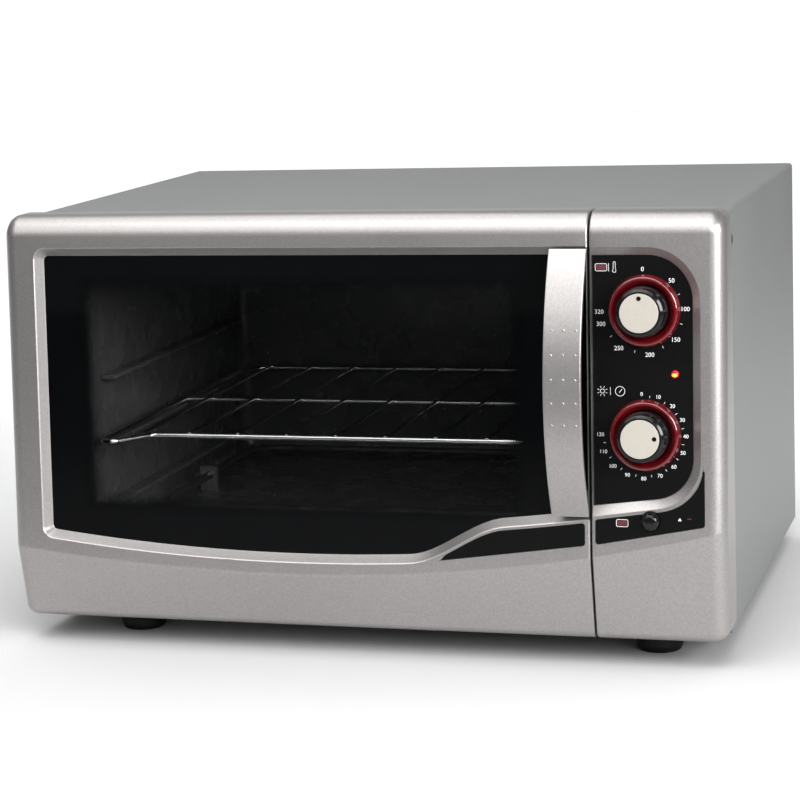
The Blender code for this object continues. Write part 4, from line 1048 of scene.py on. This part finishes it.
def ovenSymbol(key, place):
    x, height = symbol[key]
    return loop(centredBox(x, upTheSlope(height), 0.0088, 0.0054, 0.0012), ink["stroke"], place)


def thermometer(x, middle, place):
    # a slender tube on a wider bulb
    outline = softened([
        (x - 0.0008, middle - 0.0008),
        (x - 0.0008, middle + 0.0042, 0.0008),
        (x + 0.0008, middle + 0.0042, 0.0008),
        (x + 0.0008, middle - 0.0008),
        (x + 0.0017, middle - 0.0038, 0.0012),
        (x - 0.0017, middle - 0.0038, 0.0012),
    ], 4)
    return loop(outline, ink["stroke"] * 0.9, place)


def lampSymbol(x, middle, place):
    shapes = [loop(circle(x, middle, symbol["lampRound"]), ink["stroke"], place)]
    for i in range(symbol["rays"]):
        angle = 2 * math.pi * (i + 0.5) / symbol["rays"]
        across = math.cos(angle)
        upright = math.sin(angle)
        near = symbol["rayFrom"]
        far = symbol["rayTo"]
        shapes.append(ray(x, middle, across, upright, near, far, ink["stroke"], place))
    return shapes


def clockSymbol(x, middle, place):
    face = loop(circle(x, middle, symbol["clockRound"]), ink["stroke"], place)
    return [face, bar(x - 0.0006, middle - 0.0010, x + 0.0014, middle + 0.0016, ink["stroke"], place)]


def fill(key, wide, tall, radius, depth):
    x, height = symbol[key]
    return plate(centredBox(x, height, wide, tall, radius), depth - ink["thick"] / 2, depth)


def buildPrint():
    heats = [(0, "0"), (43, "50"), (64, ""), (86, "100"), (107, ""), (130, "150"), (150, ""), (171, "200"),
             (192, ""), (214, "250"), (233, ""), (254, "300"), (270, "320")]
    step = 22.85
    start = -2.4
    minutes = [(start + step * i, str(i * 10)) for i in range(13)]
    minutes += [(start + step * (i + 0.5), "") for i in range(12)]
    heat = scaleShape(controls["temperature"], heats, ink["size"])
    time = scaleShape(controls["timer"], minutes, ink["size"] * 0.86)
    piece("temperatureScale", heat, "root", material=whiteInk)
    piece("timerScale", time, "root", material=whiteInk)
    stripFace = 0.0001
    field = facing(0.0, 0.0, recess["depth"] - ink["thick"])
    strip = facing(0.0, 0.0, stripFace - ink["thick"])
    upper = upTheSlope(symbol["oven"][1])
    middle = upTheSlope(symbol["lowRow"])
    shapes = [ovenSymbol("oven", field), ovenSymbol("grill", strip), divider(0.2019, upper, field),
              thermometer(0.2062, upper, field)]
    shapes += lampSymbol(symbol["lampX"], middle, field)
    shapes.append(divider(0.2024, middle, field))
    shapes += clockSymbol(symbol["clockX"], middle, field)
    x, height = symbol["mark"]
    for raised, reach in ((0.0, 0.0011), (0.0010, 0.0005)):
        level = upTheSlope(height + raised)
        shapes.append(bar(x - reach, level, x + reach, level, 0.0010, strip))
    piece("dialSymbols", gather(shapes), "root", material=whiteInk)
    reds = [fill("oven", 0.0074, 0.0040, 0.0007, recess["depth"])]
    reds.append(fill("grill", 0.0074, 0.0040, 0.0007, stripFace))
    reds.append(fill("dash", 0.0030, 0.0007, 0.0002, stripFace))
    piece("symbolFills", gather(reds), "root", material=redInk)


# ---- cavity, elements, lamp and shelf
def buildCavity():
    cavity = {"left": -0.236, "right": 0.168, "floor": 0.060, "ceiling": 0.292, "deep": 0.350, "round": 0.010,
              "sheet": 0.0009, "guides": (0.087, 0.1395, 0.192), "reach": 0.0135, "guideTall": 0.0045,
              "lampHole": 0.0165}
    base = front["base"]
    mouth = linerLow.y
    back = front["y"] + cavity["deep"]
    steps = [(mouth, 0.0)]
    for i in range(7):
        angle = math.pi / 2 * i / 6
        inset = cavity["round"] * (1 - math.cos(angle))
        steps.append((back - cavity["round"] * (1 - math.sin(angle)), inset))
    sections = []
    for y, inset in steps:
        section = roundedBox(cavity["left"] + inset, cavity["floor"] + inset, cavity["right"] - inset,
                             cavity["ceiling"] - inset, cavity["round"], 6)
        sections.append([(p.x, y, base + p.y) for p in section])
    liner = asObject("cavityLiner", lofted(sections, openStart=True))
    thick = liner.modifiers.new("sheet", "SOLIDIFY")
    thick.thickness = cavity["sheet"]
    thick.offset = 1.0
    keepShape(liner)
    tub = bmesh.new()
    tub.from_mesh(liner.data)
    ribs = [tub]
    for height in cavity["guides"]:
        for wall, reach in ((cavity["left"], cavity["reach"]), (cavity["right"], -cavity["reach"])):
            ends = sorted((wall - math.copysign(0.0004, reach), wall + reach))
            ribs.append(block((ends[0], front["y"] + 0.020, base + height - cavity["guideTall"]),
                              (ends[1], front["y"] + 0.325, base + height), 0.0018, 4))
    bpy.data.objects.remove(liner)
    liner = asObject("cavityLiner", gather(ribs))
    low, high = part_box("lamp_glass")
    middle = (low + high) / 2
    place = Matrix.Translation((cavity["right"], middle.y, middle.z)) @ turnBy(90, "Y")
    carve(liner, rod(cavity["lampHole"], 0.006, -0.006, place, 48))
    finished(liner, "root", finishes["black_enamel"], "cavity_liner")


def legWire(node, radius, bend):
    # a flat hairpin in its node's box, legs to the right
    low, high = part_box(node)
    z = (low.z + high.z) / 2
    corners = [(high.x, low.y + radius), (low.x + radius, low.y + radius, bend),
               (low.x + radius, high.y - radius, bend), (high.x, high.y - radius)]
    return wire([(p.x, p.y, z) for p in softened(corners, 10)], radius)


def buildHeaters():
    for label in ("upper", "lower"):
        node = label + "_element"
        piece(label + "Element", legWire(node, 0.00325, 0.030), "root", node, sharp=60.0)


def buildLamp():
    low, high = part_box("lamp_glass")
    wall = low.x + 0.0150
    place = Matrix.Translation((wall, (low.y + high.y) / 2, (low.z + high.z) / 2))
    place = place @ turnBy(-90, "Y")
    dome = softened([(0.0, 0.0150), (0.0095, 0.0150, 0.007), (0.0145, 0.0080, 0.004), (0.0145, -0.0060),
                     (0.0128, -0.0060), (0.0128, 0.0070, 0.003), (0.0085, 0.0131, 0.006), (0.0, 0.0131)], 6)
    piece("lampGlass", turned(dome, place, 48), "root", "lamp_glass", sharp=50.0)
    bulb = softened([(0.0, 0.0095), (0.0072, 0.0095, 0.0068), (0.0060, -0.0080), (0.0, -0.0080)], 8)
    piece("lampBulb", turned(bulb, place, 40), "root", "lamp_bulb", sharp=50.0)


rack = {"frame": 0.0025, "cross": 0.0016, "rail": 0.0020, "pitch": 0.0417, "count": 9, "earIn": 0.010,
        "earLong": 0.034, "earReach": 0.030, "sunk": 0.0004}


def buildRack():
    low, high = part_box("wire_rack")
    left = low.x + rack["frame"]
    right = high.x - rack["frame"]
    ear = low.y + rack["frame"]
    back = high.y - rack["frame"]
    rail = ear + rack["earReach"]
    z = low.z + rack["frame"]
    half = [(rack["earLong"], rail, 0.008), (rack["earIn"], ear, 0.006), (0.0, ear + 0.003, 0.004),
            (0.0, back, 0.028)]
    corners = [(left + across, y, radius) for across, y, radius in half]
    corners += [(right - across, y, radius) for across, y, radius in reversed(half)]
    frameWire = wire([(p.x, p.y, z) for p in softened(corners, 7)], rack["frame"], closed=True)
    shapes = [frameWire]
    middle = (rail + back) / 2
    shapes.append(wire([(left, middle, z - rack["sunk"]), (right, middle, z - rack["sunk"])], rack["rail"]))
    first = (left + right) / 2 - rack["pitch"] * (rack["count"] - 1) / 2
    top = z + rack["frame"] - rack["sunk"] * 2
    for i in range(rack["count"]):
        x = first + rack["pitch"] * i
        shapes.append(wire([(x, rail - 0.0015, top), (x, back + 0.0015, top)], rack["cross"]))
    piece("wireShelf", gather(shapes), "rack", "wire_rack", sharp=60.0)


# ---- feet and screws
def buildFeet():
    side = [(0.0, 0.0177), (0.0185, 0.0177, 0.001), (0.0185, 0.0045, 0.003), (0.0165, 0.0, 0.0015),
            (0.0115, 0.0, 0.0005), (0.0105, 0.0012), (0.0, 0.0012)]
    profile = softened(side, 5)
    for end in ("front", "rear"):
        for side in ("left", "right"):
            node = "foot_" + end + "_" + side
            low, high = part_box(node)
            place = Matrix.Translation(((low.x + high.x) / 2, (low.y + high.y) / 2, 0))
            name = "foot" + end.capitalize() + side.capitalize()
            piece(name, turned(profile, place, 64), "root", node, sharp=50.0)


def screwHead(name, node, body, outward):
    # a pan head with a cross recess, its back against the sheet
    low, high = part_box(node)
    middle = (low + high) / 2
    turnOut = Vector((0, 0, 1)).rotation_difference(outward).to_matrix().to_4x4()
    thick = abs((high - low).dot(outward))
    radius = 0.0042 if thick < 0.0025 else 0.0040
    place = Matrix.Translation(middle) @ turnOut
    profile = softened([(0.0, 0.00085), (radius * 0.86, 0.00085, 0.0007), (radius, -0.0003, 0.0004),
                        (radius, -0.00085), (0.0, -0.00085)], 5)
    head = asObject(name, turned(profile, place, 40))
    for angle in (45, 135):
        slot = block((-0.0021, -0.00042, 0.0001), (0.0021, 0.00042, 0.002))
        carve(head, moved(slot, place @ turnBy(angle, "Z")))
    finished(head, body, finishes[slotOf[node]], node, sharp=40.0)


def buildScrews():
    for side, sign in (("left", -1), ("right", 1)):
        screwHead("sideScrew" + side.capitalize(), "side_screw_" + side, "root", Vector((sign, 0, 0)))
        for level in ("lower", "upper"):
            name = "rearScrew" + level.capitalize() + side.capitalize()
            screwHead(name, "rear_screw_" + level + "_" + side, "root", Vector((0, 1, 0)))


buildCabinet()
buildRearCover()
print("stage: cabinet")
buildDoor()
buildFascia()
print("stage: mouldings")
buildHandle()
buildControls()
buildPrint()
print("stage: controls")
buildCavity()
buildHeaters()
buildLamp()
buildRack()
print("stage: cavity")
buildFeet()
buildScrews()
print("stage: feet and screws")


# ---- floor, backdrop and lights
studio = {"world": 0.16, "glow": 0.82, "glowNear": -0.55, "glowFar": 1.5, "floorSize": 20.0, "backdropY": 6.0,
          "backdropTall": 9.0, "contact": 0.30}
lamps = [
    # name, place, aim, width, height, power
    ("overhead", (-0.2, -0.35, 1.6), (-0.1, -0.25, 0.0), 2.0, 1.3, 19.0),
    ("frontTop", (-0.2, -1.3, 1.5), (0.1, -0.2, 0.25), 2.4, 1.4, 24.0),
    ("frontRight", (1.0, -2.3, 1.2), (0.1, -0.2, 0.2), 1.2, 1.0, 16.0),
    ("right", (1.9, -1.3, 0.9), (0.28, 0.0, 0.2), 1.0, 1.0, 64.0),
]


def buildStudio():
    # the floor glows more towards the back and darkens softly where the oven stands over it, a painted
    # contact shadow in both its colour and its glow; far in front it is painted darker, a painted shade that
    # the oven's lower front reflects
    floorPaint = Paint("floor", 0.9, Emission_Strength=1.0)
    x, y, _ = floorPaint.axes()
    # painted contact shadow: ambient occlusion near the oven darkens the floor's colour and dims its glow
    openness = floorPaint.add("ShaderNodeAmbientOcclusion", {"samples": 8}, {"Distance": studio["contact"]})
    light = Signal(floorPaint, openness.outputs["AO"]).fade(0.10, 0.95)
    # painted shade: the floor's colour is darker far in front of the oven
    ahead = y.fade(-0.95, -0.65)
    glow = y.fade(studio["glowNear"], studio["glowFar"]) * studio["glow"] * light * (1 - x.fade(0.35, 0.80))
    paintedShadow = light * 0.38 + 0.62
    floorPaint.colour(paintedShadow * (ahead * 0.72 + 0.28), (0.0, 0.0, 0.0), (0.60, 0.60, 0.60))
    floorPaint.set("Emission Color", floorPaint.blend(glow, (0.0, 0.0, 0.0), (1.0, 1.0, 1.0)))
    shape = bmesh.new()
    bmesh.ops.create_grid(shape, x_segments=1, y_segments=1, size=studio["floorSize"])
    floor = asObject("floor", shape)
    floor.data.materials.append(floorPaint.material)
    wallPaint = Paint("backdrop", 0.9, Emission_Strength=0.92)
    x, _, z = wallPaint.axes()
    lit = (1 - x.fade(-0.3, 0.5)) * (1 - z.fade(0.55, 1.1))
    wallPaint.set("Emission Color", wallPaint.blend(lit, (0.1, 0.1, 0.1), (1.0, 1.0, 1.0)))
    shape = bmesh.new()
    bmesh.ops.create_grid(shape, x_segments=1, y_segments=1, size=studio["backdropTall"])
    upright = Matrix.Translation((0, studio["backdropY"], 0)) @ turnBy(90, "X")
    bmesh.ops.transform(shape, matrix=upright, verts=shape.verts)
    wall = asObject("backdrop", shape)
    wall.data.materials.append(wallPaint.material)
    for name, place, target, wide, tall, power in lamps:
        light = bpy.data.lights.new(name, "AREA")
        light.shape = "RECTANGLE"
        light.size = wide
        light.size_y = tall
        light.energy = power
        lamp = bpy.data.objects.new(name, light)
        lamp.location = place
        lamp.rotation_mode = "QUATERNION"
        lamp.rotation_quaternion = (Vector(target) - Vector(place)).to_track_quat("-Z", "Y")
        bpy.context.scene.collection.objects.link(lamp)
    world = bpy.data.worlds.new("studio")
    world.use_nodes = True
    world.node_tree.nodes["Background"].inputs["Color"].default_value = (0.97, 0.985, 1.0, 1.0)
    world.node_tree.nodes["Background"].inputs["Strength"].default_value = studio["world"]
    bpy.context.scene.world = world
    bpy.context.scene.view_settings.view_transform = "Standard"


buildStudio()
print("stage: studio")
